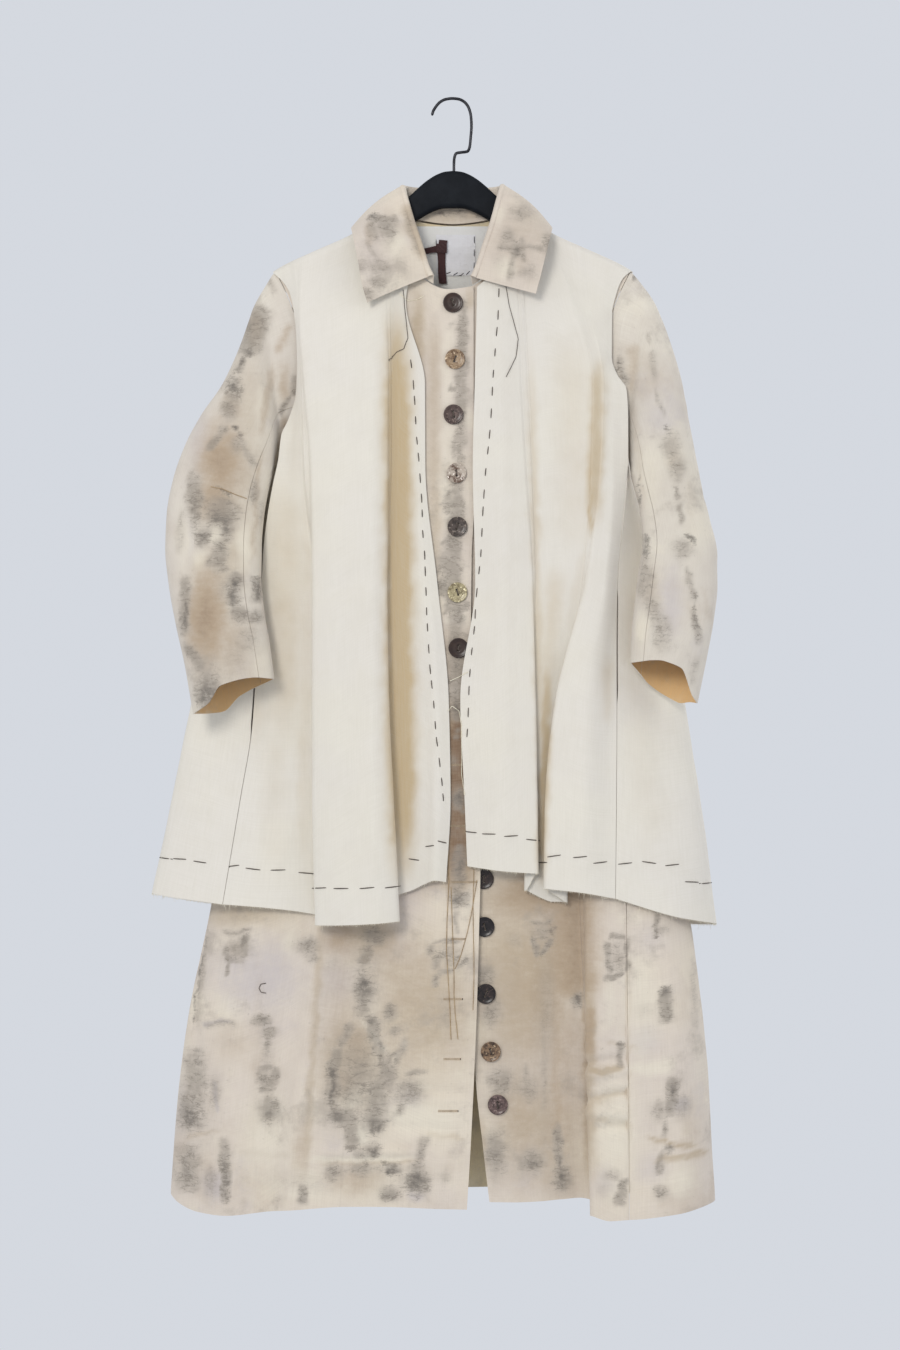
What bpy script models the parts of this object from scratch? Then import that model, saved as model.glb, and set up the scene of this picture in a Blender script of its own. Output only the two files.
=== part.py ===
import bpy
import bmesh
import math
import numpy as np
from mathutils import Matrix, Vector
from mathutils.bvhtree import BVHTree
from mathutils.geometry import delaunay_2d_cdt

for old in list(bpy.data.objects):
    bpy.data.objects.remove(old, do_unlink=True)

# A caped coat on its hanger. Lengths are in millimetres and become metres where a mesh is made.
# The origin is under the top bend of the hook, +Z is up and the front of the coat faces -Y.
MM = 0.001
COAT_WALL = 2.0
CAPE_WALL = 1.6
COLLAR_WALL = 1.8
SLEEVE_WALL = 1.8
SEAM_GAP = 0.25
HANGER_HALF = 7.0
COAT_RISE = 1.35
CAPE_RISE = 4.6
NECK_HALF = 66.0
BLEND_DROP = 120.0
BUTTON_DIAMETER = 24.0
BUTTON_HEIGHT = 2.8
BUTTON_HOLE = 2.6
BUTTON_HOLE_APART = 6.4
BUTTON_SEAT = 0.3
HOOK_WIRE = 3.6

# Top edge of the hanger: distance from the middle, height.
HANGER_TOP = ((0, -86.5), (10, -87.6), (20, -91.2), (30, -97.2), (40, -105.2), (51, -115.4), (66, -128), (89, -147),
              (122, -169), (162, -187), (205, -207), (221, -217), (240, -230))
# Depth of the hanger body: distance from the middle, depth.
HANGER_DEPTH = ((0, 46), (30, 42), (52, 37), (90, 34), (160, 31), (186, 27), (196, 20), (203, 11))
# Hook wire in the plane of the hanger: across, height.
HOOK_PATH = ((-25.6, -19), (-24.2, -14), (-20.7, -8), (-15.2, -2.2), (-8.5, 0.9), (-1, 1.8), (6.1, 1.2),
             (13.8, -2.4), (19.4, -10.1), (22, -20.4), (22.6, -31.7), (21.7, -45.6), (20.3, -57.7),
             (17.4, -62.9), (9.8, -64), (4.4, -65), (2, -69.5), (1.2, -78), (1.2, -100))

# Side seam of the coat: height, distance from the middle on the right, on the left.
SIDE_SEAM = ((-411, 203, 203), (-440, 203.8, 203.3), (-560, 226, 205), (-760, 256, 206), (-988, 295, 208),
             (-1125, 323, 209), (-1219, 335, 210), (-1340, 344, 210))
# Armhole of the coat: height, distance from the middle, depth in front, depth behind.
ARMHOLE = ((-213, 214, 20, 18), (-240, 201, 20, 20), (-275, 189, 20, 23), (-311, 184.5, 20, 25),
           (-350, 187, 18, 24), (-385, 195, 12, 13.5), (-403, 200.5, 5, 5), (-411, 203, 0.2, 0.2))
# How far the coat front stands out in front of the hanger plane: height, depth.
COAT_DEPTH = ((-250, 26), (-350, 30), (-450, 31), (-590, 33), (-730, 36), (-850, 38), (-970, 40),
              (-1100, 42), (-1340, 46))
# Levels at which the front columns are given.
COAT_LEVELS = (-411, -950, -1340)

# Columns run from the neck or shoulder down to the hem. across is the share of the way from the
# front edge to the side seam, round the share of the front depth, lift the height of the fold.
# name, top across, top height, across, round, lift, hem height, bend radius, spans to the next column
COAT_FRONT_RIGHT = (
    ("edge", 25, -231, (0, 0, 0), (1, 1, 1), (0, 3.5, 4), -1343, 0, 2),
    ("placket", -6, -235, (0.13, 0.11, 0.10), (1, 1, 1), (0, 3.5, 5), -1342, 0, 1),
    ("inner", -42, -216, (0.27, 0.27, 0.26), (1, 1, 1), (0, -1, -2), -1341, 0, 2),
    ("neck", -64, -141, (0.42, 0.42, 0.42), (0.99, 0.99, 0.99), (0, 0, 3), -1340, 0, 3),
    ("ridge", -71, None, (0.55, 0.55, 0.575), (0.97, 0.96, 0.97), (0, 4, 13), -1342, 0, 2),
    ("valley", -104, None, (0.68, 0.67, 0.68), (0.93, 0.90, 0.91), (0, 0, -3), -1348, 0, 1),
    ("outer ridge", -145, None, (0.80, 0.80, 0.80), (0.86, 0.80, 0.80), (0, 1, 6), -1352, 0, 2),
    ("turn", -180, None, (0.90, 0.90, 0.90), (0.80, 0.62, 0.62), (0, 0, 1), -1350, 0, 1),
    ("near seam", -200, None, (0.96, 0.972, 0.975), (0.6, 0.33, 0.31), (0, 0, 0), -1340, 0, 1),
    ("seam turn", -213.4, None, (0.9975, 0.9975, 0.9975), (0.11, 0.11, 0.11), (0, 0, 0), -1333, 0, 1),
    ("side", -214, None, (1, 1, 1), (0, 0, 0), (0, 0, 0), -1331, 0, 0))
COAT_FRONT_LEFT = (
    ("edge", -16, -235, (0, 0, 0), (1, 1, 1), (0, -3.2, -3), -1336, 0, 1),
    ("placket", 12, -234, (0.15, 0.16, 0.16), (1, 1, 1), (0, -2.6, -1.5), -1336, 0, 1),
    ("inner", 42, -216, (0.35, 0.36, 0.36), (1, 1, 1), (0, 0, 2), -1334, 0, 2),
    ("neck", 64, -141, (0.52, 0.52, 0.52), (0.99, 1, 1), (0, 1, 4), -1331, 0, 3),
    ("recess", 71, None, (0.66, 0.62, 0.66), (0.97, 1, 1), (0, 0, -1), -1330, 0, 2),
    ("turn in", 110, None, (0.78, 0.695, 0.84), (0.93, 1, 1), (0, 1, 5), -1336, 4.0, 1),
    ("fold edge", 150, None, (0.87, 0.73, 0.725), (0.84, 1, 1), (0, 8, 19), -1347, 4.5, 2),
    ("fold", 190, None, (0.945, 0.88, 0.86), (0.68, 1, 1), (0, 13, 27), -1352, 0, 2),
    ("seam turn", 213.4, None, (0.9975, 0.98, 0.98), (0.11, 1, 1), (0, 11, 25), -1351, 0, 1),
    ("side", 214, None, (1, 1, 1), (0, 1, 1), (0, 11, 24), -1351, 0, 0))
# The back wraps round to the front at the left side. Levels for these columns: across and depth.
BACK_LEVELS = (-260, -411, -560, -760, -950, -1150, -1340)
COAT_BACK = (
    ("seam turn", -213.4, None, (-194, -202.5, -225.4, -255.3, -288, -326, -343), (20, 3.5, 4, 4.5, 5, 5.5, 6), -1332, 0, 1),
    ("near seam", -194, None, (-184, -195, -219, -247, -278, -315, -333), (20, 9, 12, 16, 19, 22, 24), -1334, 0, 1),
    ("turn", -182, None, (-175, -184, -204, -229, -257, -292, -310), (21, 20, 22, 26, 29, 32, 34), -1337, 0, 1),
    ("outer", -150, None, (-146, -153, -168, -188, -210, -240, -256), (21, 26, 28, 31, 35, 40, 44), -1341, 0, 1),
    ("valley", -104, None, (-103, -107, -115, -127, -140, -158, -170), (20, 27, 28, 29, 31, 31, 30), -1338, 0, 1),
    ("ridge", -71, None, (-68, -71, -74, -80, -88, -98, -104), (20, 26, 29, 32, 36, 40, 43), -1336, 0, 3),
    ("neck", -64, -141, (-52, -53, -54, -58, -64, -70, -74), (20, 26, 29, 32, 37, 42, 46), -1335, 0, 2),
    ("middle", 0, -152, (0, 0, 0, 0, 0, 0, 0), (20, 25, 27, 29, 31, 33, 34), -1333, 0, 2),
    ("neck left", 64, -141, (52, 53, 54, 57, 61, 66, 70), (20, 26, 29, 33, 38, 43, 47), -1335, 0, 3),
    ("ridge left", 71, None, (68, 71, 73, 77, 83, 90, 96), (20, 26, 29, 33, 37, 41, 44), -1336, 0, 1),
    ("valley left", 104, None, (103, 107, 113, 122, 132, 145, 154), (20, 27, 28, 28, 29, 29, 28), -1338, 0, 1),
    ("outer left", 150, None, (146, 153, 166, 182, 200, 220, 232), (21, 26, 29, 32, 36, 40, 42), -1342, 0, 1),
    ("turn left", 178, None, (172, 176, 199, 230, 262, 292, 302), (21, 22, 21, 20, 18, 14, 12), -1340, 0, 2),
    ("fold left", 192, None, (181, 188, 212, 246, 280, 306, 317), (21, 16, 7, -1, -10, -18, -22), -1337, 0, 2),
    ("wrap left", 204, None, (187, 197, 213, 232, 250, 264, 272), (20, 9, -5, -25, -44, -56, -63), -1345, 0, 2),
    ("seam turn left", 213.4, None, (194, 202.5, 208.5, 214, 220, 224, 225), (20, 3.5, -10, -32, -50, -60, -70), -1350, 0, 1))
# Front edge of the coat: height, right panel (on top), left panel (under it).
COAT_EDGE = ((-229, 25, -16), (-500, 25, -15), (-560, 22.5, -13), (-670, 21.5, -6), (-760, 24, 8),
             (-850, 28, 20), (-930, 33, 24), (-1000, 31.5, 24), (-1090, 29, 25), (-1180, 25.5, 27),
             (-1270, 21, 36), (-1345, 16.5, 45))

# The cape lies over the coat. Its columns give across and depth in front at these heights and at the hem.
CAPE_LEVELS = (-250, -350, -450, -590, -730, -850)
# name, top across, top height, across, depth, hem height, spans to the next column
CAPE_FRONT_RIGHT = (
    ("edge", -48, -205, (-57, -34, -33.6, -19.3, -5.5, -3.2, -8.5), (31, 35, 36, 39, 43, 46, 49), -950, 0, 1),
    ("strip", -52, -193, (-62, -47, -47, -35, -20.5, -18, -21.7), (32, 36, 39, 43, 47, 51, 54), -948, 0, 1),
    ("bend", -56, -180, (-67, -61, -61, -54, -39.7, -35, -34.9), (31, 35, 36, 39, 43, 46, 49), -953, 0, 1),
    ("recess", -60, -168, (-71, -70, -70, -68.5, -61, -56.5, -51.7), (31, 34, 35, 38, 41, 44, 47), -961, 0, 1),
    ("turn in", -66, -153, (-74.5, -74.5, -74.5, -82, -91, -94, -95), (32, 35.5, 37, 41, 46, 51, 57), -972, 3.2, 3),
    ("fold edge", -79, None, (-80, -78, -78, -79.3, -77, -71, -63.7), (33, 40, 44, 51, 58, 64, 70), -995, 4.0, 2),
    ("fold inner", -98, None, (-105, -104, -102, -104.5, -104.5, -99.7, -93.7), (34, 44, 51, 61, 69, 76, 83), -997, 0, 1),
    ("fold outer", -136, None, (-147, -144, -143, -140.5, -138, -135.7, -132), (34, 42, 49, 59, 67, 73, 80), -999, 0, 1),
    ("fold far edge", -184, None, (-186, -180, -171.7, -169, -168.7, -168, -164), (31, 37, 43, 51, 57, 61, 66), -1000, 3.6, 2),
    ("turn out", -192, None, (-188, -183, -180, -164.5, -157.3, -152.5, -147.7), (30, 34, 37, 41, 45, 48, 51), -992, 3.2, 2),
    ("near panel", -200, None, (-190, -185.5, -190, -189.7, -186, -184.9, -183.7), (29, 32, 33, 35, 38, 41, 46), -986, 0, 1),
    ("side panel", -210, None, (-192, -187.7, -199.5, -208, -214, -222, -234), (27, 30, 29, 31, 33, 40, 50), -980, 0, 1),
    ("side", -219, None, None, None, -977, 0, 0))
CAPE_FRONT_LEFT = (
    ("edge", 29, -233, (28.7, 26.3, 23.9, 26.9, 8.9, 14, 17.3), (31, 35, 37, 40, 43, 46, 49), -931, 0, 1),
    ("strip", 49, -213, (54, 54, 56.3, 61, 56.3, 58.7, 60), (33, 38, 43, 49, 54, 59, 64), -936, 0, 2),
    ("strip edge", 58, -179, (78, 81.5, 87.5, 96, 99, 100.7, 102), (32, 36, 40, 45, 49, 53, 57), -939, 4.0, 1),
    ("turn in", 66, -153, (84, 90, 95, 99, 92.5, 88.7, 86), (31, 34, 36, 39, 43, 46, 49), -960, 3.2, 3),
    ("recess", 79, None, (108, 122, 128, 131, 122, 116, 119), (30, 33, 34, 36, 39, 41, 44), -974, 0, 2),
    ("turn out", 115, None, (146, 168, 166, 156, 142, 137, 137), (29, 32, 34, 38, 43, 46, 50), -974, 3.2, 2),
    ("fold edge", 156, None, (163, 181, 178, 160, 122, 110.5, 108.5), (28, 33, 38, 44, 50, 55, 60), -957, 4.0, 2),
    ("fold", 190, None, (181, 187, 190.5, 181, 158, 152, 152), (27, 31, 36, 47, 57, 64, 70), -961, 0, 2),
    ("side", 219, None, None, None, -969, 0, 0))
# Front side edge of the cape: armhole, slit for the sleeve, then the seam: height, across, depth.
CAPE_SIDE_RIGHT = ((-213, -219, 25), (-224, -207, 25), (-240, -197.6, 25), (-262, -193, 26), (-311, -188.4, 27),
                   (-361, -190, 27), (-394, -199.8, 25), (-410, -207.7, 24), (-460, -211, 24), (-590, -224, 26),
                   (-690, -234, 28), (-768, -242, 31), (-850, -256, 38), (-985, -278, 48))
CAPE_SIDE_LEFT = ((-209, 219, 25), (-222, 205.7, 25), (-243, 197.5, 25), (-263, 193, 26), (-319, 192, 27),
                  (-340, 199, 27), (-356, 210, 26), (-466, 204.5, 26), (-595, 198.4, 30), (-690, 197, 38),
                  (-735, 197, 42), (-850, 196, 50), (-975, 194, 62))
# The cape back wraps round to the front at both sides. Negative depth is in front of the hanger.
CAPE_BACK = (
    ("slit right", -219, None, (-197, -192, -221, -243, -246, -256.4, -278.4), (24, 31, 22, 3, -22, -38, -48), -977, 0, 2),
    ("wrap right", -208, None, (-191, -187, -226, -272, -286, -302, -322), (25, 34, 28, 12, -14, -28, -36), -972, 0, 2),
    ("fold right", -197, None, (-184, -182, -220, -282, -318, -342, -366), (26, 37, 36, 25, 8, 0, -6), -967, 0, 2),
    ("side right", -180, None, (-170, -171, -198, -256, -292, -314, -336), (26, 38, 41, 41, 39, 39, 40), -978, 0, 2),
    ("ridge right", -150, None, (-143, -146, -162, -204, -227, -244, -260), (26, 36, 41, 46, 51, 56, 62), -990, 0, 1),
    ("valley right", -104, None, (-100, -104, -112, -135, -150, -160, -172), (25, 35, 38, 41, 43, 44, 45), -996, 0, 1),
    ("ridge inner", -77, None, (-72, -73, -75, -88, -98, -104, -112), (24, 36, 42, 48, 55, 60, 66), -1000, 0, 3),
    ("neck", -60, -149, (-54, -55, -57, -62, -68, -72, -78), (24, 36, 42, 48, 55, 61, 67), -1001, 0, 2),
    ("middle", 0, -156, (0, 0, 0, 0, 0, 0, 0), (24, 35, 38, 42, 44, 46, 48), -1001, 0, 2),
    ("neck left", 60, -149, (54, 55, 57, 60, 66, 70, 76), (24, 36, 42, 49, 56, 62, 69), -1004, 0, 3),
    ("ridge inner left", 77, None, (72, 73, 74, 86, 95, 101, 109), (24, 36, 42, 48, 55, 60, 67), -1004, 0, 1),
    ("valley left", 104, None, (98, 102, 108, 128, 140, 148, 158), (25, 35, 38, 40, 42, 43, 44), -1006, 0, 1),
    ("ridge left", 150, None, (143, 146, 160, 190, 206, 220, 234), (26, 36, 41, 47, 53, 59, 66), -1010, 0, 1),
    ("side left", 180, None, (170, 171, 192, 232, 258, 276, 294), (26, 38, 41, 41, 39, 39, 40), -1009, 0, 2),
    ("fold left", 197, None, (184, 182, 204, 250, 282, 300, 320), (26, 37, 36, 25, 8, 0, -10), -1004, 0, 2),
    ("wrap left", 208, None, (191, 187, 215, 245, 250, 256, 262), (25, 34, 28, 4, -24, -40, -56), -990, 0, 2),
    ("slit left", 219, None, (197, 192, 214, 227, 201, 196.4, 194.4), (24, 31, 22, -12, -41, -50, -62), -969, 0, 0))

# Sleeve sections from the armhole down: outer across and height, inner across and height, middle depth,
# half depth in front, half depth behind, share of the cuff's shape.
SLEEVE_RIGHT = (
    (-229, -229, -209, -416, 0, 21, 24, 0),
    (-243, -255, -211, -421, -2, 25, 27, 0),
    (-255, -294, -213, -428, -5, 28, 28, 0),
    (-277, -344, -215, -437, -9, 29, 28, 0),
    (-305, -386, -217, -449, -14, 29, 28, 0),
    (-324, -423, -220, -462, -19, 28, 27, 0),
    (-338.5, -467, -225, -484, -25, 27, 26, 0),
    (-345, -507, -229, -512, -31, 27, 25, 0),
    (-346, -547, -231, -545, -38, 28, 25, 0),
    (-341, -592, -231, -583, -46, 29, 26, 0),
    (-331.5, -641, -227, -624, -54, 29, 27, 0.2),
    (-320, -690, -220, -662, -61, 29, 28, 0.6),
    (-309.4, -748, -213.6, -706, -68, 30, 30, 1))
SLEEVE_LEFT = (
    (230, -226, 209, -416, 0, 21, 24, 0),
    (246, -250, 211, -421, -2, 25, 27, 0),
    (261, -290, 212.5, -428, -5, 28, 28, 0),
    (273, -330, 214, -437, -9, 29, 28, 0),
    (283, -375, 215.5, -449, -14, 29, 28, 0),
    (291, -418, 216, -459, -19, 28, 27, 0),
    (299, -468, 221.5, -482, -25, 27, 26, 0),
    (308, -509, 227, -508, -32, 27, 25, 0),
    (317, -553, 229, -540, -39, 28, 25, 0),
    (317, -592, 223, -580, -46, 29, 26, 0),
    (312, -634, 218, -618, -53, 29, 27, 0.2),
    (303, -680, 214, -650, -60, 29, 28, 0.6),
    (291, -735, 212, -687, -67, 30, 30, 1))
# Shape of each cuff's edge: share of the way from its outer to its inner end, lift in front, lift behind.
CUFF_RIGHT = ((0, 0, 0), (0.2, 4, -8), (0.36, 19, -12), (0.55, 17, -2), (0.75, 12, 0), (1, 0, 0))
CUFF_LEFT = ((0, 0, 0), (0.08, 4, -3), (0.26, 29, -12), (0.52, 25, -13), (0.71, 17, -11), (0.85, 9, -5), (1, 0, 0))
UNDER_SLEEVE = 2
# Rows at which the coat is cut across at the hips and the top sleeves at the elbow.
HIP_ROW = 11
ELBOW_ROW = 8
COAT_ROWS = 6
CAPE_ROWS = 5

# Collar sections from the right front end round the back to the left: neck across and height and side
# of the coat (-1 front, 1 back), crown of the roll, outer edge of the fall.
COLLAR = (
    (-24, -230, -1, (-27, -37, -220), (-103, -50, -254.6)),
    (-38, -219, -1, (-31, -37, -206), (-110, -50, -229)),
    (-51, -196, -1, (-37, -36, -186), (-114, -49, -206)),
    (-60, -163, -1, (-48, -29, -153), (-120, -37, -175)),
    (-65, -141, -1, (-58, -14, -116), (-123, -17, -160)),
    (-71, -131, 0, (-60, 0, -104.5), (-123, 0, -156)),
    (-65, -141, 1, (-57, 11, -103.5), (-116, 20, -160)),
    (-43, -147, 1, (-44, 17, -104.5), (-84, 31, -176)),
    (0, -152, 1, (0, 18, -105.5), (0, 33, -184)),
    (43, -147, 1, (44, 17, -104.5), (84, 31, -177)),
    (65, -141, 1, (57, 11, -103.5), (114, 20, -161)),
    (71, -131, 0, (59, 0, -103.5), (120, 0, -156)),
    (65, -141, -1, (56, -14, -116), (120, -17, -160)),
    (60, -163, -1, (46, -29, -155), (117, -37, -174)),
    (51, -196, -1, (35, -36, -188), (110, -49, -203)),
    (38, -219, -1, (29, -37, -207), (105, -50, -223)),
    (24, -230, -1, (24, -37, -221), (99.4, -50, -243.9)))
ROLL_RADIUS = 3.3
COLLAR_FOOT = 2.2
COLLAR_SPANS = (1, 1, 1, 2, 3, 3, 2, 2, 2, 2, 3, 3, 2, 1, 1, 1)

# Buttons from the top down: across, height, 1 where it lies on the left front that runs under the right one.
BUTTONS = ((-0.1, -251.5, 0), (2.3, -320, 0), (0.5, -387, 0), (4.1, -458, 0), (5.3, -522.7, 0),
           (5.3, -602, 0), (6.5, -669, 0), (19, -739, 1), (28.5, -810, 1), (33.5, -878, 1),
           (37.1, -947.5, 1), (38, -1005, 1), (39.5, -1085.5, 1), (45.5, -1155, 1), (53.9, -1218.7, 1))
# Inner facing behind the neck, and the label on it: left, top, right, bottom.
FACING = (-57, -152.8, 57, -240)
LABEL = (-20.5, -163, 27.5, -212)
FACING_WALL = 1.0
LABEL_WALL = 0.8
RIBBON_WALL = 1.2
# Corners of the tied ribbon in front of the label: across, height, lift of the knot.
RIBBON = ((-18, -175.5, 1.5), (-7.5, -175.5, 1.5), (-10, -185.5, 1.5), (-20, -184.5, 1.5),
          (-46.8, -182, 0), (-44, -190, 0), (-17, -222, 0), (-7.5, -222, 0), (-16.5, -170, 0), (-7, -170, 0))
RIBBON_FACES = ((0, 3, 2, 1), (0, 4, 5, 3), (3, 6, 7, 2), (8, 0, 1, 9))


def smooth_through(keys, values, at):
    # Monotone cubic through the keys, so a table value is never overshot.
    keys = np.asarray(keys, float)
    values = np.asarray(values, float)
    if keys[0] > keys[-1]:
        keys, values = keys[::-1], values[::-1]
    at = np.clip(np.asarray(at, float), keys[0], keys[-1])
    step = np.diff(keys)
    rise = np.diff(values) / step
    slope = np.zeros(len(keys))
    slope[0], slope[-1] = rise[0], rise[-1]
    for k in range(1, len(keys) - 1):
        if rise[k - 1] * rise[k] > 0:
            first, second = 2 * step[k] + step[k - 1], step[k] + 2 * step[k - 1]
            slope[k] = (first + second) / (first / rise[k - 1] + second / rise[k])
    k = np.clip(np.searchsorted(keys, at, side="right") - 1, 0, len(keys) - 2)
    t = (at - keys[k]) / step[k]
    return ((1 + 2 * t) * (1 - t) ** 2 * values[k] + t * (1 - t) ** 2 * step[k] * slope[k]
            + t * t * (3 - 2 * t) * values[k + 1] + t * t * (t - 1) * step[k] * slope[k + 1])


def column_of(table, number):
    return [row[number] for row in table]


def hanger_top(x):
    return smooth_through(column_of(HANGER_TOP, 0), column_of(HANGER_TOP, 1), np.abs(x))


def shoulder(x, rise):
    # Height of cloth that lies over the hanger, measured square to its slope.
    x = np.maximum(np.abs(x), NECK_HALF)
    slope = (hanger_top(x + 1) - hanger_top(x - 1)) / 2
    return hanger_top(x) + rise * np.sqrt(1 + slope ** 2)


def depth_under_shoulder(x, z, full, rise):
    # Cloth turns over the rounded top of the hanger, then hangs out to its full depth.
    radius = HANGER_HALF + rise - 0.05
    drop = np.maximum(shoulder(x, rise) - z, 0)
    turn = np.clip(drop / radius, 0, 1)
    over = radius * np.sqrt(np.maximum(1 - (1 - turn) ** 2, 0))
    share = np.clip(drop / BLEND_DROP, 0, 1)
    share = share * share * (3 - 2 * share)
    return over + (full - radius) * share


def rows_from(start, hem, rise, waist, below):
    # Close rows round the shoulder, even ones down to the waist level, then even ones to the hem.
    radius = HANGER_HALF + rise
    near = [start - radius * (1 - math.cos(math.radians(a))) for a in (1.5, 28, 57, 90)]
    near += [start - 15, start - 27]
    upper = [start - 27 + (waist - start + 27) * share for share in (0.3, 0.56, 0.78, 0.93, 1)]
    return np.array(near + upper + list(np.linspace(waist, hem, below + 1)[1:]))


def bend_columns(columns):
    # A column with a bend radius becomes three columns round that bend.
    out = []
    for k, column in enumerate(columns):
        radius = column["radius"]
        if not radius:
            out.append(column)
            continue
        for other in (columns[k - 1], columns[k + 1]):
            near = dict(column)
            near["x"] = column["x"] + np.clip((other["x"] - column["x"]) * 0.3, -radius * 0.5, radius * 0.5)
            near["full"] = column["full"] + np.clip((other["full"] - column["full"]) * 0.45,
                                                    -radius * 0.87, radius * 0.87)
            near["spans"] = 1
            out.append(near)
            if other is columns[k - 1]:
                middle = dict(column)
                middle["spans"] = 1
                out.append(middle)
        out[-1]["spans"] = column["spans"]
    return out


def panel(columns, rise, front):
    # Fills in the columns, then hangs them over the shoulder. Also gives the columns that end at the neck.
    columns = bend_columns(columns)
    at = [0.0]
    for number, column in enumerate(columns[:-1]):
        at += [number + (k + 1) / column["spans"] for k in range(column["spans"])]
    keys = np.arange(len(columns))
    fine = {}
    for word in ("x", "full", "z"):
        values = np.array([column[word] for column in columns])
        fine[word] = np.array([smooth_through(keys, values[:, row], at) for row in range(values.shape[1])]).T
    radius = HANGER_HALF + rise
    neck = []
    rows = fine["z"].shape[1]
    fade = np.linspace(1, 0, rows)
    for number, place in enumerate(at):
        low, high = columns[int(place)], columns[min(int(place) + 1, len(columns) - 1)]
        share = place - int(place)
        if share == 0:
            high = low
        top = float(shoulder(fine["x"][number, 0], rise))
        if low["shoulder"] and high["shoulder"]:
            wanted = top - radius * 0.0003
        elif low["shoulder"] != high["shoulder"]:
            drop = top - (high if low["shoulder"] else low)["z"][0]
            angle = math.acos(1 - min(drop, radius) / radius) * (share if low["shoulder"] else 1 - share)
            wanted = top - (drop if share in (0, 1) else min(drop, radius * (1 - math.cos(angle))))
        else:
            wanted = fine["z"][number, 0]
        fine["z"][number] += (wanted - fine["z"][number, 0]) * fade
        neck.append(not (low["shoulder"] and high["shoulder"]))
    depth = depth_under_shoulder(fine["x"], fine["z"], fine["full"], rise)
    near = np.arange(rows)[None, :] < 5
    depth = np.where(near, np.maximum(depth, SEAM_GAP), depth)
    y = -depth if front else depth
    first = neck.index(True)
    last = len(neck) - 1 - neck[::-1].index(True)
    line = np.stack([fine["x"], y, fine["z"]], axis=2)
    return line, line[max(first - 1, 0):last + 2, 0]


def key_column(x, full, z, height, radius, spans):
    return {"x": x, "full": full, "z": z, "shoulder": height is None, "radius": radius, "spans": spans}


def split_columns(grid, spans):
    # grid is columns x rows x 3; extra columns are put between with a monotone curve.
    at = [0.0]
    for number, span in enumerate(spans):
        at += [number + (k + 1) / span for k in range(span)]
    keys = np.arange(grid.shape[0])
    out = np.zeros((len(at), grid.shape[1], 3))
    for row in range(grid.shape[1]):
        for axis in range(3):
            out[:, row, axis] = smooth_through(keys, grid[:, row, axis], at)
    return out


def grid_faces(grid):
    columns, rows = grid.shape[:2]
    return [(i * rows + j, (i + 1) * rows + j, (i + 1) * rows + j + 1, i * rows + j + 1)
            for i in range(columns - 1) for j in range(rows - 1)]


def wall_between(name, grid, wall, material):
    # A sheet of cloth from a grid of points, given its thickness by a Solidify modifier.
    mesh = bpy.data.meshes.new(name)
    mesh.from_pydata([tuple(point * MM) for point in grid.reshape(-1, 3)], [], grid_faces(grid))
    body = bpy.data.objects.new(name, mesh)
    bpy.context.collection.objects.link(body)
    mesh.materials.append(material)
    thick = body.modifiers.new("cloth", "SOLIDIFY")
    thick.thickness = wall * MM
    thick.offset = 0
    return body


def cut_across(names, grid, row, wall, label):
    # Two walls of cloth from one grid, with a seam gap between them at this row.
    lower = grid[:, row:].copy()
    step = lower[:, 1] - lower[:, 0]
    lower[:, 0] += step * (SEAM_GAP * 2 / np.linalg.norm(step, axis=1))[:, None]
    wall_between(names[0], grid[:, :row + 1], wall, paint(label + " cloth", "coat"))
    wall_between(names[1], lower, wall, paint(label + " lower cloth", "coat"))


def material_of(name, colour, roughness=0.9, metallic=0.0):
    made = bpy.data.materials.new(name)
    made.use_nodes = True
    shader = made.node_tree.nodes["Principled BSDF"]
    shader.inputs["Base Color"].default_value = (*colour, 1)
    shader.inputs["Roughness"].default_value = roughness
    shader.inputs["Metallic"].default_value = metallic
    return made


COLOURS = {"cape": (0.78, 0.75, 0.68), "coat": (0.70, 0.62, 0.53), "facing": (0.80, 0.78, 0.70),
           "label": (0.82, 0.80, 0.74), "ribbon": (0.06, 0.02, 0.02), "button": (0.30, 0.22, 0.17),
           "hanger": (0.015, 0.018, 0.025), "hook": (0.05, 0.05, 0.055)}


def paint(name, kind):
    if kind == "hook":
        return material_of(name, COLOURS[kind], 0.4, 0.9)
    return material_of(name, COLOURS[kind], 0.35 if kind in ("button", "hanger") else 0.9)


def from_table(table, number, z):
    return smooth_through(column_of(table, 0), column_of(table, number), z)


def seam_depth(z, side):
    # Depth of the coat's side edge in front: round the armhole, then down the side seam.
    hole = from_table(ARMHOLE, 2, z)
    last = (COAT_FRONT_RIGHT if side < 0 else COAT_FRONT_LEFT)[-1]
    base = from_table(COAT_DEPTH, 1, z)
    below = 0.2 + (base - 0.2) * smooth_through(COAT_LEVELS, last[4], z) + smooth_through(COAT_LEVELS, last[5], z)
    return np.where(z > -411, hole, below)


def seam_across(z, side):
    return np.where(z > -411, from_table(ARMHOLE, 1, z), from_table(SIDE_SEAM, 1 if side < 0 else 2, z))


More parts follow.
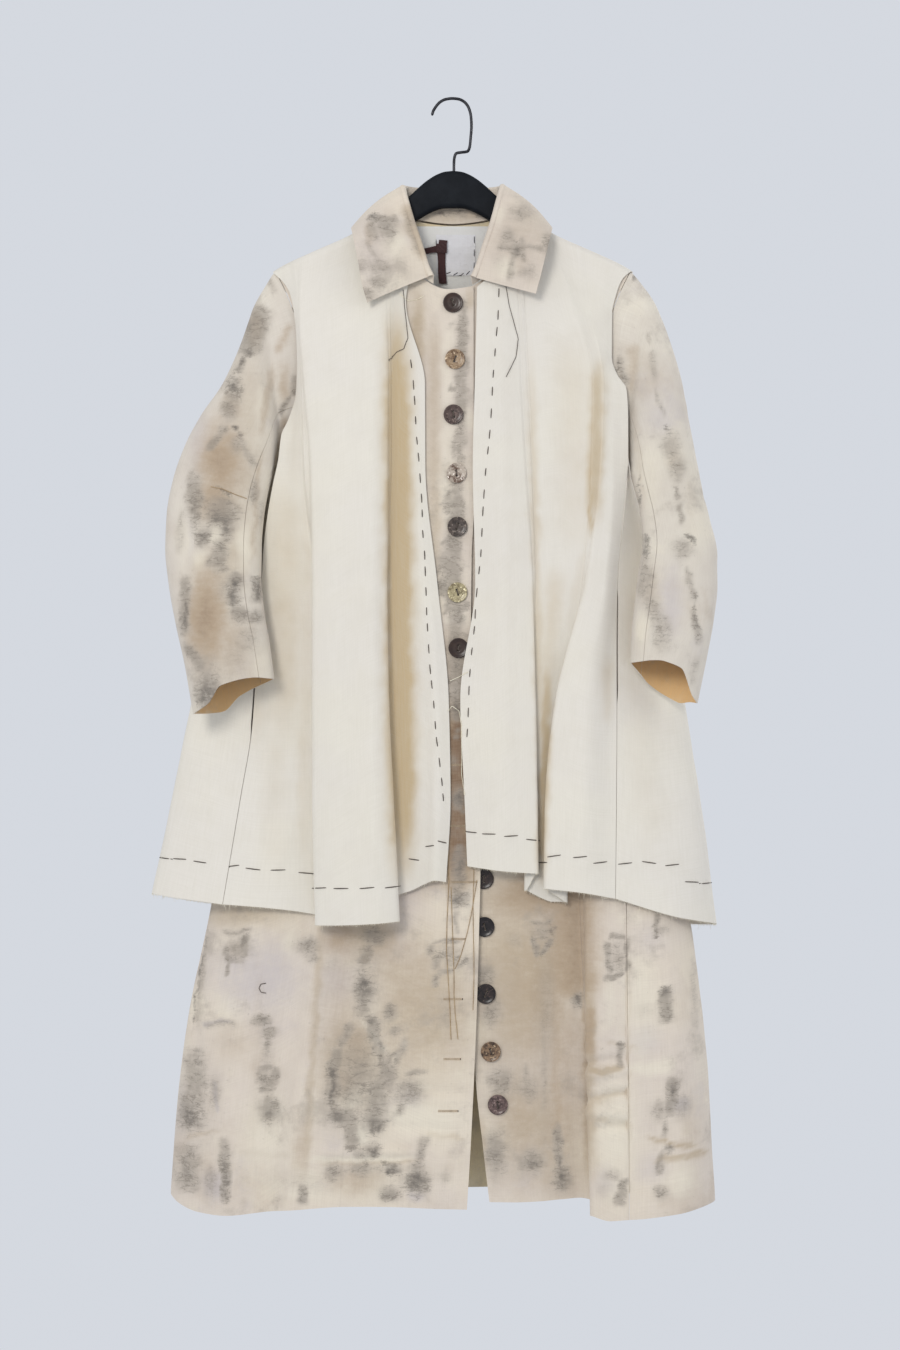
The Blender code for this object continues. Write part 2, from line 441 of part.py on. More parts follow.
def coat_front(table, side, under):
    columns = []
    for name, top, height, across, rounding, lift, hem, radius, spans in table:
        start = float(shoulder(top, COAT_RISE)) if height is None else height
        z = rows_from(start, hem, COAT_RISE, -411, COAT_ROWS)
        edge = from_table(COAT_EDGE, 1 if side < 0 else 2, z)
        seam = side * seam_across(z, side)
        top_share = (top - edge[0]) / (seam[0] - edge[0])
        share = smooth_through((start,) + COAT_LEVELS, (top_share,) + across, z)
        x = edge + (seam - edge) * share
        edge_depth = np.where(z > -411, from_table(ARMHOLE, 2, z), 0.2)
        base = from_table(COAT_DEPTH, 1, z)
        part = smooth_through(COAT_LEVELS, rounding, z)
        if name == "seam turn":
            share = np.where(z > -411, 0.98, share)
            x = edge + (seam - edge) * share
            part = np.where(z > -411, 0.25, part)
        full = edge_depth + (base - edge_depth) * part
        full = full + smooth_through(COAT_LEVELS, lift, z) - under * (1 - share ** 2)
        if name == "side":
            x = x - side * SEAM_GAP * (z <= -411)
            full = np.maximum(full, 0) + SEAM_GAP
        columns.append(key_column(x, full, z, height, radius, spans))
    return panel(columns, COAT_RISE, True)


def coat_back():
    columns = []
    ends = [("side", side * 214, None, None, None, hem, 0, 1) for side, hem in ((-1, -1331), (1, -1351))]
    for name, top, height, across, depth, hem, radius, spans in [ends[0], *COAT_BACK, ends[1]]:
        start = float(shoulder(top, COAT_RISE)) if height is None else height
        z = rows_from(start, hem, COAT_RISE, -411, COAT_ROWS)
        side = -1 if top < 0 else 1
        if name == "side":
            x = side * (seam_across(z, side) + SEAM_GAP * (z <= -411))
            below = -seam_depth(z, side) if side > 0 else 0.0
            full = np.where(z > -411, from_table(ARMHOLE, 3, z), below) + SEAM_GAP
        else:
            share = smooth_through((start, -411), (top / 214, across[1] / 203), z) if top else 0.0 * z
            if name.startswith("seam turn"):
                share = np.full(len(z), side * (0.98 if side > 0 else 0.972))
            x = np.where(z > -411, seam_across(z, 1) * share, smooth_through(BACK_LEVELS, across, z))
            full = smooth_through(BACK_LEVELS, depth, z)
            hole = from_table(ARMHOLE, 3, z)
            inward = np.clip((1 - np.abs(share)) / 0.25, 0, 1)
            full = np.where(z > -411, hole + (full - hole) * inward, full)
        columns.append(key_column(x, full, z, height, radius, spans))
    return panel(columns, COAT_RISE, False)


def cape_front(table, side_table):
    columns = []
    for name, top, height, across, depth, hem, radius, spans in table:
        start = float(shoulder(top, CAPE_RISE)) if height is None else height
        z = rows_from(start, hem, CAPE_RISE, -411, CAPE_ROWS)
        if name == "side":
            x = from_table(side_table, 1, z) - np.sign(top) * SEAM_GAP * 1.2
            full = from_table(side_table, 2, z)
        else:
            x = smooth_through((start,) + CAPE_LEVELS + (hem,), (top,) + across, z)
            full = smooth_through(CAPE_LEVELS + (hem,), depth, z)
        columns.append(key_column(x, full, z, height, radius, spans))
    return panel(columns, CAPE_RISE, True)


def cape_back():
    columns = []
    for name, top, height, across, depth, hem, radius, spans in CAPE_BACK:
        start = float(shoulder(top, CAPE_RISE)) if height is None else height
        z = rows_from(start, hem, CAPE_RISE, -411, CAPE_ROWS)
        x = smooth_through((start,) + CAPE_LEVELS + (hem,), (top,) + across, z)
        full = smooth_through(CAPE_LEVELS + (hem,), depth, z)
        if name.startswith("slit"):
            table = CAPE_SIDE_RIGHT if top < 0 else CAPE_SIDE_LEFT
            joined = z < (-768 if top < 0 else -735)
            x = np.where(joined, from_table(table, 1, z), x) + np.sign(top) * SEAM_GAP * 1.2
            full = np.where(joined, -from_table(table, 2, z), full)
        columns.append(key_column(x, full, z, height, radius, spans))
    return panel(columns, CAPE_RISE, False)


def along(line, at):
    # Points at shares of the length of a line of points.
    line = np.asarray(line)
    far = np.concatenate([[0], np.cumsum(np.linalg.norm(np.diff(line, axis=0), axis=1))])
    return np.stack([np.interp(np.asarray(at) * far[-1], far, line[:, k]) for k in range(3)], axis=1)


def sleeve_rings(table, side, front, back):
    # The first section is the armhole edge of the coat itself, moved out by the seam gap.
    fore = front[-1]
    rear = back[-1 if side > 0 else 0]
    fore, rear = fore[fore[:, 2] > -411.5], rear[rear[:, 2] > -411.5]
    ring = np.concatenate([fore, rear[::-1][1:-1]])
    last = len(fore) - 1
    ring[0] = (fore[0] + rear[0]) / 2
    ring[last] = (fore[-1] + rear[-1]) / 2
    top, low = ring[0, 2], ring[last, 2]
    down = (top - ring[:, 2]) / (top - low)
    angles = np.arccos(np.clip(1 - 2 * down, -1, 1))
    angles[last + 1:] = 2 * math.pi - angles[last + 1:]
    ring[:, 0] += side * (0.8 + 1.8 * np.clip((down - 0.7) / 0.3, 0, 1))
    lead = ring + np.stack([side * (3 - 2 * down), 0 * down, -1.2 * (1 - down)], axis=1)
    rings = [ring, lead]
    cuff = CUFF_RIGHT if side < 0 else CUFF_LEFT
    for out_x, out_z, in_x, in_z, middle, ahead, behind, shaped in table:
        share = (1 - np.cos(angles)) / 2
        forward = np.sin(angles)
        y = middle - forward * np.where(forward > 0, ahead, behind)
        lift = np.where(forward > 0, from_table(cuff, 1, share), from_table(cuff, 2, share)) * shaped
        rings.append(np.stack([out_x + (in_x - out_x) * share, y, out_z + (in_z - out_z) * share + lift], axis=1))
    return np.array(rings), last


def part_of_rings(rings, first, last):
    # Columns of a sleeve piece between two points of its sections, drawn back from the seam by its gap.
    count = rings.shape[1]
    out = [rings[:, k % count].copy() for k in range(first, last + 1)]
    for end, near in ((0, 1), (-1, -2)):
        step = out[near] - out[end]
        out[end] = out[end] + step / np.linalg.norm(step, axis=1)[:, None] * 0.35
    return np.array(out)


def collar_grid(neck_line):
    # One cut of cloth: up the stand from the neck seam, over the roll and down the fall.
    dense = along(neck_line, np.linspace(0, 1, 1201))
    keys = []
    for number, (x, z, side, crown, edge) in enumerate(COLLAR):
        depth = depth_under_shoulder(np.array(float(x)), np.array(float(z)), 26.0 if side < 0 else 20.0, COAT_RISE)
        first = 0 if number <= 8 else 600
        half = dense[first:first + 601]
        nearest = first + np.argmin(np.linalg.norm(half - (x, float(depth) * side, z), axis=1))
        keys.append([(nearest / 1200.0, 0, 0), crown, edge])
    sections = split_columns(np.array(keys, float), COLLAR_SPANS)
    grid = []
    for number, (seam, crown, edge) in enumerate(sections):
        neck = dense[int(round(seam[0] * 1200))]
        before, after = sections[max(number - 1, 0)][1], sections[min(number + 1, len(sections) - 1)][1]
        roll = (after - before) / np.linalg.norm(after - before)
        rise = (crown - neck) - roll * np.dot(crown - neck, roll)
        rise = rise / np.linalg.norm(rise)
        out = np.cross(roll, rise)
        out = out * (1 if np.dot(out, edge - crown) > 0 else -1)
        centre = crown - rise * ROLL_RADIUS
        bend = [centre + out * ROLL_RADIUS * math.cos(a) + rise * ROLL_RADIUS * math.sin(a)
                for a in [math.radians(v) for v in (180, 120, 60, 0)]]
        foot = neck + (bend[0] - neck) / np.linalg.norm(bend[0] - neck) * COLLAR_FOOT
        shape = [foot, foot + (bend[0] - foot) * 0.5] + bend
        away = (edge - bend[-1]) / np.linalg.norm(edge - bend[-1])
        swell = out - away * np.dot(out, away)
        for share in (0.3, 0.65, 1.0):
            shape.append(bend[-1] + (edge - bend[-1]) * share + swell * 5.0 * math.sin(math.pi * share))
        grid.append(shape)
    return np.array(grid)


def add_cloth():
    front_right, neck_right = coat_front(COAT_FRONT_RIGHT, -1, 0.0)
    front_left, neck_left = coat_front(COAT_FRONT_LEFT, 1, 2.8)
    back, neck_back = coat_back()
    for name, grid in (("coat_front_right", front_right), ("coat_front_left", front_left), ("coat_back", back)):
        cut_across((name, name + "_skirt"), grid, HIP_ROW, COAT_WALL, name.replace("_", " "))
    wall_between("cape_front_right", cape_front(CAPE_FRONT_RIGHT, CAPE_SIDE_RIGHT)[0], CAPE_WALL,
                 paint("cape right cloth", "cape"))
    wall_between("cape_front_left", cape_front(CAPE_FRONT_LEFT, CAPE_SIDE_LEFT)[0], CAPE_WALL,
                 paint("cape left cloth", "cape"))
    wall_between("cape_back", cape_back()[0], CAPE_WALL, paint("cape back cloth", "cape"))
    for side, word, table, front in ((-1, "right", SLEEVE_RIGHT, front_right), (1, "left", SLEEVE_LEFT, front_left)):
        rings, underarm = sleeve_rings(table, side, front, back)
        top = part_of_rings(rings, underarm + UNDER_SLEEVE - rings.shape[1], underarm - UNDER_SLEEVE)
        under = part_of_rings(rings, underarm - UNDER_SLEEVE, underarm + UNDER_SLEEVE)
        cut_across(("sleeve_%s_top" % word, "sleeve_%s_forearm" % word), top, ELBOW_ROW, SLEEVE_WALL,
                   "sleeve %s top" % word)
        wall_between("sleeve_%s_under" % word, under, SLEEVE_WALL, paint("sleeve %s under cloth" % word, "coat"))
    neck_line = np.concatenate([neck_right, neck_back, neck_left[::-1]])
    wall_between("collar", collar_grid(neck_line), COLLAR_WALL, paint("collar cloth", "coat"))
    add_buttons(front_right, front_left)
    add_neck_pieces(back)


def depth_of_grid(grid, x, z):
    # Depth of a cloth panel straight behind a point.
    tree = BVHTree.FromPolygons([tuple(point) for point in grid.reshape(-1, 3)], grid_faces(grid))
    return tree.ray_cast(Vector((x, -400.0, z)), Vector((0, 1, 0)))[0].y


def inside_back(back, x, z, inward):
    # A point or a grid of points that lie this far in front of the coat back's middle surface.
    x, z = np.asarray(x, float), np.asarray(z, float)
    depth = np.array([depth_of_grid(back, float(a), float(b)) for a, b in zip(x.ravel(), z.ravel())])
    return np.stack([x, depth.reshape(x.shape) - inward, z], axis=-1)


def add_neck_pieces(back):
    inward = COAT_WALL / 2 + SEAM_GAP + 0.05 + FACING_WALL / 2
    left, top, right, low = FACING
    x, z = np.meshgrid(np.linspace(left, right, 7), np.linspace(top, low, 6), indexing="ij")
    wall_between("back_facing", inside_back(back, x, z, inward), FACING_WALL, paint("facing cloth", "facing"))
    inward += FACING_WALL / 2 + SEAM_GAP + 0.05 + LABEL_WALL / 2
    left, top, right, low = LABEL
    x, z = np.meshgrid(np.linspace(left, right, 4), np.linspace(top, low, 4), indexing="ij")
    wall_between("label", inside_back(back, x, z, inward), LABEL_WALL, paint("label cloth", "label"))
    inward += LABEL_WALL / 2 + SEAM_GAP + 0.05 + RIBBON_WALL / 2
    corners = [inside_back(back, x, z, inward + lift) * MM for x, z, lift in RIBBON]
    mesh = bpy.data.meshes.new("ribbon")
    mesh.from_pydata([tuple(point) for point in corners], [], RIBBON_FACES)
    body = bpy.data.objects.new("ribbon", mesh)
    bpy.context.collection.objects.link(body)
    mesh.materials.append(paint("ribbon cloth", "ribbon"))
    thick = body.modifiers.new("cloth", "SOLIDIFY")
    thick.thickness = RIBBON_WALL * MM
    thick.offset = 0


def button_mesh(name):
    # A flat round button with two holes, its face towards -Y.
    radius, half, hole = BUTTON_DIAMETER / 2, BUTTON_HEIGHT / 2, BUTTON_HOLE / 2
    ring = [(math.cos(a), math.sin(a)) for a in np.linspace(0, 2 * math.pi, 15)[:-1]]
    eye = [(math.cos(a), math.sin(a)) for a in np.linspace(0, 2 * math.pi, 6)[:-1]]
    flat = [Vector((radius * x, radius * z)) for x, z in ring]
    loops = [list(range(14))]
    for side in (-1, 1):
        loops.append(list(range(len(flat), len(flat) + 5)))
        flat += [Vector((side * BUTTON_HOLE_APART / 2 + hole * x, hole * z)) for x, z in eye]
    edges = [(loop[k], loop[(k + 1) % len(loop)]) for loop in loops for k in range(len(loop))]
    points, found, faces = delaunay_2d_cdt(flat, edges, [], 2, 0.001)[:3]
    count = len(points)
    verts = [(p.x * 0.94, -half, p.y * 0.94) if p.length > radius * 0.9 else (p.x, -half, p.y) for p in points]
    verts += [(p.x, half, p.y) for p in points]
    all_faces = [tuple(face) for face in faces] + [tuple(v + count for v in reversed(face)) for face in faces]
    rim = {}
    for face in faces:
        for k in range(len(face)):
            pair = (face[k], face[(k + 1) % len(face)])
            rim[pair] = rim.get(pair, 0) + 1
    for a, b in rim:
        if (b, a) not in rim:
            all_faces.append((b, a, a + count, b + count))
    mesh = bpy.data.meshes.new(name)
    mesh.from_pydata([tuple(v * MM for v in p) for p in verts], [], all_faces)
    sheet = bmesh.new()
    sheet.from_mesh(mesh)
    bmesh.ops.recalc_face_normals(sheet, faces=sheet.faces)
    sheet.to_mesh(mesh)
    sheet.free()
    return mesh


def add_buttons(front_right, front_left):
    for number, (x, z, under) in enumerate(BUTTONS, 1):
        panel_grid = front_left if under else front_right
        away = []
        for dx, dz in ((0, 0), (-10, 0), (10, 0), (0, -10), (0, 10), (7, 7), (-7, -7), (7, -7), (-7, 7)):
            away.append((dx, dz, depth_of_grid(panel_grid, x + dx, z + dz)))
        a = np.array([(1, dx, dz) for dx, dz, y in away])
        base, lean_x, lean_z = np.linalg.lstsq(a, np.array([y for dx, dz, y in away]), rcond=None)[0]
        out = Vector((lean_x, -1, lean_z)).normalized()
        proud = max(base + lean_x * dx + lean_z * dz - y for dx, dz, y in away)
        centre = Vector((x, base, z)) + out * (proud + COAT_WALL / 2 + BUTTON_SEAT + BUTTON_HEIGHT / 2)
        name = "button_%02d" % number
        body = bpy.data.objects.new(name, button_mesh(name))
        bpy.context.collection.objects.link(body)
        body.data.materials.append(paint(name + " shell", "button"))
        turn = Vector((0, -1, 0)).rotation_difference(out)
        body.data.transform(Matrix.Translation(centre * MM) @ turn.to_matrix().to_4x4())


def add_hanger():
    stations = [0, 12, 22, 34, 51, 59, 66, 78, 92, 111, 135, 162, 186, 196, 203]
    xs = [-v for v in reversed(stations)] + stations[1:]
    rings = []
    for x in xs:
        depth = float(from_table(HANGER_DEPTH, 1, abs(x)))
        top = float(hanger_top(x))
        end = max((abs(x) - 186) / 17.0, 0)
        half = (HANGER_HALF - 1.0) * math.sqrt(max(1 - end * end * 0.75, 0.1))
        ring = []
        for a in range(6):
            angle = math.pi * a / 5
            ring.append((x, half * math.cos(angle), top - half + half * math.sin(angle)))
        for a in range(6):
            angle = math.pi + math.pi * a / 5
            ring.append((x, half * math.cos(angle), top - depth + half + half * math.sin(angle)))
        rings.append(ring)
    verts = [tuple(v * MM for v in p) for ring in rings for p in ring]
    n = 12
    faces = []
    for i in range(len(xs) - 1):
        for k in range(n):
            m = (k + 1) % n
            faces.append((i * n + k, i * n + m, (i + 1) * n + m, (i + 1) * n + k))
    faces.append(tuple(reversed(range(n))))
    faces.append(tuple(range((len(xs) - 1) * n, len(xs) * n)))
    mesh = bpy.data.meshes.new("hanger_body")
    mesh.from_pydata(verts, [], faces)
    body = bpy.data.objects.new("hanger_body", mesh)
    bpy.context.collection.objects.link(body)
    mesh.materials.append(paint("hanger body finish", "hanger"))
    sheet = bmesh.new()
    sheet.from_mesh(mesh)
    bmesh.ops.recalc_face_normals(sheet, faces=sheet.faces)
    sheet.to_mesh(mesh)
    sheet.free()
    bpy.ops.mesh.primitive_cylinder_add(vertices=16, radius=(HOOK_WIRE / 2 + 0.3) * MM, depth=34 * MM,
                                        location=(1.2 * MM, 0, -85 * MM))
    cutter = bpy.context.object
    cutter.name = "hook_socket_cutter"
    cutter.hide_render = True
    cutter.display_type = "WIRE"
    cut = body.modifiers.new("hook socket", "BOOLEAN")
    cut.operation = "DIFFERENCE"
    cut.solver = "EXACT"
    cut.object = cutter

    curve = bpy.data.curves.new("hanger_hook", "CURVE")
    curve.dimensions = "3D"
    curve.bevel_depth = HOOK_WIRE / 2 * MM
    curve.bevel_resolution = 2
    curve.use_fill_caps = True
    line = curve.splines.new("POLY")
    points = np.array(HOOK_PATH, float)
    at = np.linspace(0, len(points) - 1, 25)
    xs = smooth_through(np.arange(len(points)), points[:, 0], at)
    zs = smooth_through(np.arange(len(points)), points[:, 1], at)
    line.points.add(len(at) - 1)
    for k in range(len(at)):
        line.points[k].co = (xs[k] * MM, 0, zs[k] * MM, 1)
    hook = bpy.data.objects.new("hanger_hook", curve)
    bpy.context.collection.objects.link(hook)
    curve.materials.append(paint("hook wire metal", "hook"))


add_cloth()
add_hanger()
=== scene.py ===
import math
import bpy
import bmesh
import numpy as np
from mathutils import Matrix, Vector, noise
from mathutils.bvhtree import BVHTree


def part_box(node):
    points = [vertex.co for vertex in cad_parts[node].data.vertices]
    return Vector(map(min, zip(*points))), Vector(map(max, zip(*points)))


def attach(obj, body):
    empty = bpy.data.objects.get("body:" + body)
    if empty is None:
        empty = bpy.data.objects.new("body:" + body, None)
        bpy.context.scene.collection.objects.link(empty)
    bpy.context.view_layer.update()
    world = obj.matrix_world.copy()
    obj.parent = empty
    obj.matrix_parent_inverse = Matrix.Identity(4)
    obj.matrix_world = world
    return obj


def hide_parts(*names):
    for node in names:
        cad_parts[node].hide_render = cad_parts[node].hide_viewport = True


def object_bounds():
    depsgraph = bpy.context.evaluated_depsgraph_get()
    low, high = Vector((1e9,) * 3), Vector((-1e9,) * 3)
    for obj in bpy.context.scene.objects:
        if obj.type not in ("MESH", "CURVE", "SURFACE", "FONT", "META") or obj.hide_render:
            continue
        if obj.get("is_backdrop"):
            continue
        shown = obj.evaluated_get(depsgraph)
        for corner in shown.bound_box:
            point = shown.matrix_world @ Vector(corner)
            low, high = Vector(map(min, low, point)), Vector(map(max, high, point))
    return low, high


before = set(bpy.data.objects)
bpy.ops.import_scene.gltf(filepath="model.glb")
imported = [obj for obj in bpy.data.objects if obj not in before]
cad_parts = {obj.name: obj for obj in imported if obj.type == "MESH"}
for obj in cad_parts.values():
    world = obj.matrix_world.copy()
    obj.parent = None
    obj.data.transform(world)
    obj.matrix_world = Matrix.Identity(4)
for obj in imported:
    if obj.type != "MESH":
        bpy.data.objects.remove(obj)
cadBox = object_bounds()
print("frame loaded", len(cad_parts), "nodes")

# Sizes are in millimetres here and become metres where a mesh is made.
mm = 0.001

camera = {
    "place": (-3.66, -3050.0, -701.5),   # looks along +Y
    "mmPerPixel": 1.2,                   # at this distance, in a frame of 900 x 1350 pixels
    "distance": 3000.0,
    "middle": (450, 675),                # of the frame
}


def pixelSize(y):
    return camera["mmPerPixel"] * (y - camera["place"][1]) / camera["distance"]


def toPixel(x, y, z):
    # Where a point of the front shows in the frame.
    size = pixelSize(y)
    across, height = camera["middle"]
    return across + (x - camera["place"][0]) / size, height - (z - camera["place"][2]) / size


def fromPixel(px, py, y):
    size = pixelSize(y)
    across, height = camera["middle"]
    return (px - across) * size + camera["place"][0], camera["place"][2] + (height - py) * size


# curves and columns that the cloth hangs by

hanger = {
    # across, height
    "top": ((0, -86.5), (10, -87.6), (20, -91.2), (30, -97.2), (40, -105.2), (51, -115.4), (66, -128),
        (89, -147), (122, -169), (162, -187), (205, -207), (221, -217), (240, -230)),
    "depth": ((0, 46), (30, 42), (52, 37), (90, 34), (160, 31), (186, 27), (196, 20), (203, 11)),
    "half": 7, "neckHalf": 66, "tip": 186, "tipLength": 17, "stations": 96, "around": 28,
}
# how far each layer lies off the hanger, drop to its full depth, half the gap of a seam
drape = {"coatRise": 1.35, "capeRise": 4.6, "blendDrop": 120.0, "gap": 0.25}
underarm = -411
# counts of rows and columns
fineness = {"coatFront": 7, "coatBack": 5, "cape": 5, "overShoulder": 9, "upper": 30, "capeBelow": 60,
            "hem": 165, "backHem": 110}


def smoothThrough(keys, values, at):
    # Monotone cubic, so it never overshoots a table value.
    keys = np.asarray(keys, float)
    values = np.asarray(values, float)
    if keys[0] > keys[-1]:
        keys, values = keys[::-1], values[::-1]
    at = np.clip(np.asarray(at, float), keys[0], keys[-1])
    step = np.diff(keys)
    rise = np.diff(values) / step
    slope = np.zeros(len(keys))
    slope[0], slope[-1] = rise[0], rise[-1]
    for k in range(1, len(keys) - 1):
        if rise[k - 1] * rise[k] > 0:
            first, second = 2 * step[k] + step[k - 1], step[k] + 2 * step[k - 1]
            slope[k] = (first + second) / (first / rise[k - 1] + second / rise[k])
    k = np.clip(np.searchsorted(keys, at, side="right") - 1, 0, len(keys) - 2)
    t = (at - keys[k]) / step[k]
    return ((1 + 2 * t) * (1 - t) ** 2 * values[k] + t * (1 - t) ** 2 * step[k] * slope[k]
            + t * t * (3 - 2 * t) * values[k + 1] + t * t * (t - 1) * step[k] * slope[k + 1])


def tableAt(rows, number, at):
    return smoothThrough([row[0] for row in rows], [row[number] for row in rows], at)


def smoothLine(points, at):
    # Every number of some points, each smoothly from point to point.
    points = np.asarray(points, float)
    flat = points.reshape(len(points), -1)
    fine = [smoothThrough(np.arange(len(points)), flat[:, k], at) for k in range(flat.shape[1])]
    return np.stack(fine, axis=-1).reshape((len(at),) + points.shape[1:])


def farAlong(line):
    # Distance of each point from the first.
    return np.concatenate([[0], np.cumsum(np.linalg.norm(np.diff(line, axis=0), axis=1))])


def pointAt(line, far, place):
    return Vector([np.interp(place, far, line[:, k]) for k in range(3)])


def hangerTop(x):
    return tableAt(hanger["top"], 1, np.abs(x))


def shoulderAt(x, rise):
    x = np.maximum(np.abs(x), hanger["neckHalf"])
    slope = (hangerTop(x + 1) - hangerTop(x - 1)) / 2
    return hangerTop(x) + rise * np.sqrt(1 + slope ** 2)


def depthUnder(x, z, full, rise):
    # Over the rounded top of the hanger, then out to the full depth.
    radius = hanger["half"] + rise - 0.05
    drop = np.maximum(shoulderAt(x, rise) - z, 0)
    turn = np.clip(drop / radius, 0, 1)
    over = radius * np.sqrt(np.maximum(1 - (1 - turn) ** 2, 0))
    share = np.clip(drop / drape["blendDrop"], 0, 1)
    share = share * share * (3 - 2 * share)
    return over + (full - radius) * share


def rowsFrom(start, hem, rise, below):
    # below lists heights and the count of rows down to each, the last one for the hem.
    radius = hanger["half"] + rise
    turns = np.radians(np.linspace(1.5, 90, fineness["overShoulder"]))
    rows = [start - radius * (1 - math.cos(turn)) for turn in turns]
    rows += list(np.linspace(rows[-1], start - 27, 5)[1:])
    rows += list(np.linspace(start - 27, underarm, fineness["upper"] + 1)[1:])
    for height, count in below:
        rows += list(np.linspace(rows[-1], hem if height is None else height, count + 1)[1:])
    return np.array(rows)


def bendColumns(columns):
    # A fold becomes three columns round the radius of its bend.
    out = []
    for k, column in enumerate(columns):
        radius = column["radius"]
        if not radius:
            out.append(column)
            continue
        for other in (columns[k - 1], columns[k + 1]):
            near = dict(column)
            near["x"] = column["x"] + np.clip((other["x"] - column["x"]) * 0.3, -radius * 0.5, radius * 0.5)
            near["full"] = column["full"] + np.clip((other["full"] - column["full"]) * 0.45,
                                                    -radius * 0.87, radius * 0.87)
            near["spans"] = 1
            out.append(near)
            if other is columns[k - 1]:
                middle = dict(column)
                middle["spans"] = 1
                out.append(middle)
        out[-1]["spans"] = column["spans"]
    return out


def hangPanel(columns, rise, front, across):
    # Fills in between the columns and hangs the cloth over the shoulder.
    columns = bendColumns(columns)
    at = [0.0]
    for number, column in enumerate(columns[:-1]):
        steps = column["spans"] * across
        at += [number + (k + 1) / steps for k in range(steps)]
    fine = {word: smoothLine([column[word] for column in columns], at) for word in ("x", "full", "z")}
    radius = hanger["half"] + rise
    rows = fine["z"].shape[1]
    fade = np.linspace(1, 0, rows)
    neck = []
    for number, place in enumerate(at):
        low, high = columns[int(place)], columns[min(int(place) + 1, len(columns) - 1)]
        share = place - int(place)
        if share == 0:
            high = low
        top = float(shoulderAt(fine["x"][number, 0], rise))
        if low["shoulder"] and high["shoulder"]:
            wanted = top - radius * 0.0003
        elif low["shoulder"] != high["shoulder"]:
            drop = top - (high if low["shoulder"] else low)["z"][0]
            angle = math.acos(1 - min(drop, radius) / radius) * (share if low["shoulder"] else 1 - share)
            wanted = top - (drop if share in (0, 1) else min(drop, radius * (1 - math.cos(angle))))
        else:
            wanted = fine["z"][number, 0]
        fine["z"][number] += (wanted - fine["z"][number, 0]) * fade
        neck.append(not (low["shoulder"] and high["shoulder"]))
    depth = depthUnder(fine["x"], fine["z"], fine["full"], rise)
    near = np.arange(rows)[None, :] < fineness["overShoulder"]
    depth = np.where(near, np.maximum(depth, drape["gap"]), depth)
    grid = np.stack([fine["x"], -depth if front else depth, fine["z"]], axis=2)
    first = neck.index(True)
    last = len(neck) - 1 - neck[::-1].index(True)
    return grid, grid[max(first - 1, 0):last + 2, 0]


def startOf(top, height, rise):
    # Columns without a height of their own start on the shoulder.
    return float(shoulderAt(top, rise)) if height is None else height


def keyColumn(x, full, z, height, radius, spans):
    return {"x": x, "full": full, "z": z, "shoulder": height is None, "radius": radius, "spans": spans}


# creases and marks, placed in pixels of the 900 x 1350 frame

def viewPixels(grid, back=False):
    x = -grid[..., 0] if back else grid[..., 0]
    y = -grid[..., 1] if back else grid[..., 1]
    return toPixel(x, y, grid[..., 2])


def lineShare(px, py, x0, y0, x1, y1, width):
    # 1 along a line, fading over its width and over a quarter of its length at each end.
    dx, dy = x1 - x0, y1 - y0
    length = math.hypot(dx, dy) + 1e-6
    inside = np.clip(((px - x0) * dx + (py - y0) * dy) / length ** 2, 0, 1)
    away = np.hypot(px - x0 - inside * dx, py - y0 - inside * dy)
    taper = np.clip(inside / 0.25, 0, 1) * np.clip((1 - inside) / 0.25, 0, 1)
    return np.exp(-(away / width) ** 2) * (taper * (2 - taper))


def blotShare(px, py, x, y, rx, ry):
    return np.exp(-(((px - x) / rx) ** 2 + ((py - y) / ry) ** 2))


def ringShare(px, py, x, y, rx, ry, width):
    far = np.hypot((px - x) / rx, (py - y) / ry)
    return np.exp(-((far - 1) * (rx + ry) / 2 / width) ** 2)


def unevenness(grid, size, seed):
    # Smooth noise at each point, about -1 to 1.
    flat = grid.reshape(-1, 3) / size + seed
    return np.array([noise.noise(Vector(point)) for point in flat]).reshape(grid.shape[:-1])


def outwardOf(grid):
    # Unit normals of a grid of points.
    along = np.gradient(grid, axis=0)
    down = np.gradient(grid, axis=1)
    normal = np.cross(along, down)
    return normal / np.maximum(np.linalg.norm(normal, axis=2), 1e-9)[..., None]


def crease(grid, rows, outward, back=False):
    # Moves the cloth out along its ridges and in along its troughs: x0, y0, x1, y1, width, depth.
    px, py = viewPixels(grid, back)
    lift = np.zeros(grid.shape[:2])
    for x0, y0, x1, y1, width, depth in rows:
        lift += depth * lineShare(px, py, x0, y0, x1, y1, width)
    return grid + outward * lift[..., None]


# the marks' colour layers: stains and prints, while khaki and tan also carry painted shade and pale also
# painted highlights
dyesAndShades = ("grey", "dark", "tan", "pale", "lilac", "khakiAndShade")
shares = {"line": lineShare, "blot": blotShare, "ring": ringShare}


def marksOn(grid, marks, back=False, seed=0.0):
    # One layer for each colour, the dyes and the painted shade alike: place and size of its lines, blots
    # and rings, then their strength.
    px, py = viewPixels(grid, back)
    px = px + unevenness(grid, 17.0, seed + 3.1) * 3.2 + unevenness(grid, 7.0, seed + 8.7) * 1.6
    py = py + unevenness(grid, 19.0, seed + 11.4) * 3.6 + unevenness(grid, 8.0, seed + 1.9) * 1.8
    layers = np.zeros(grid.shape[:2] + (len(dyesAndShades),))
    for layer, dye in enumerate(dyesAndShades):
        for kind, rows in marks.get(dye, {}).items():
            for *place, strength in rows:
                share = shares[kind](px, py, *place) * strength
                layers[..., layer] = np.maximum(layers[..., layer], share)
    return np.clip(layers, 0, 2)


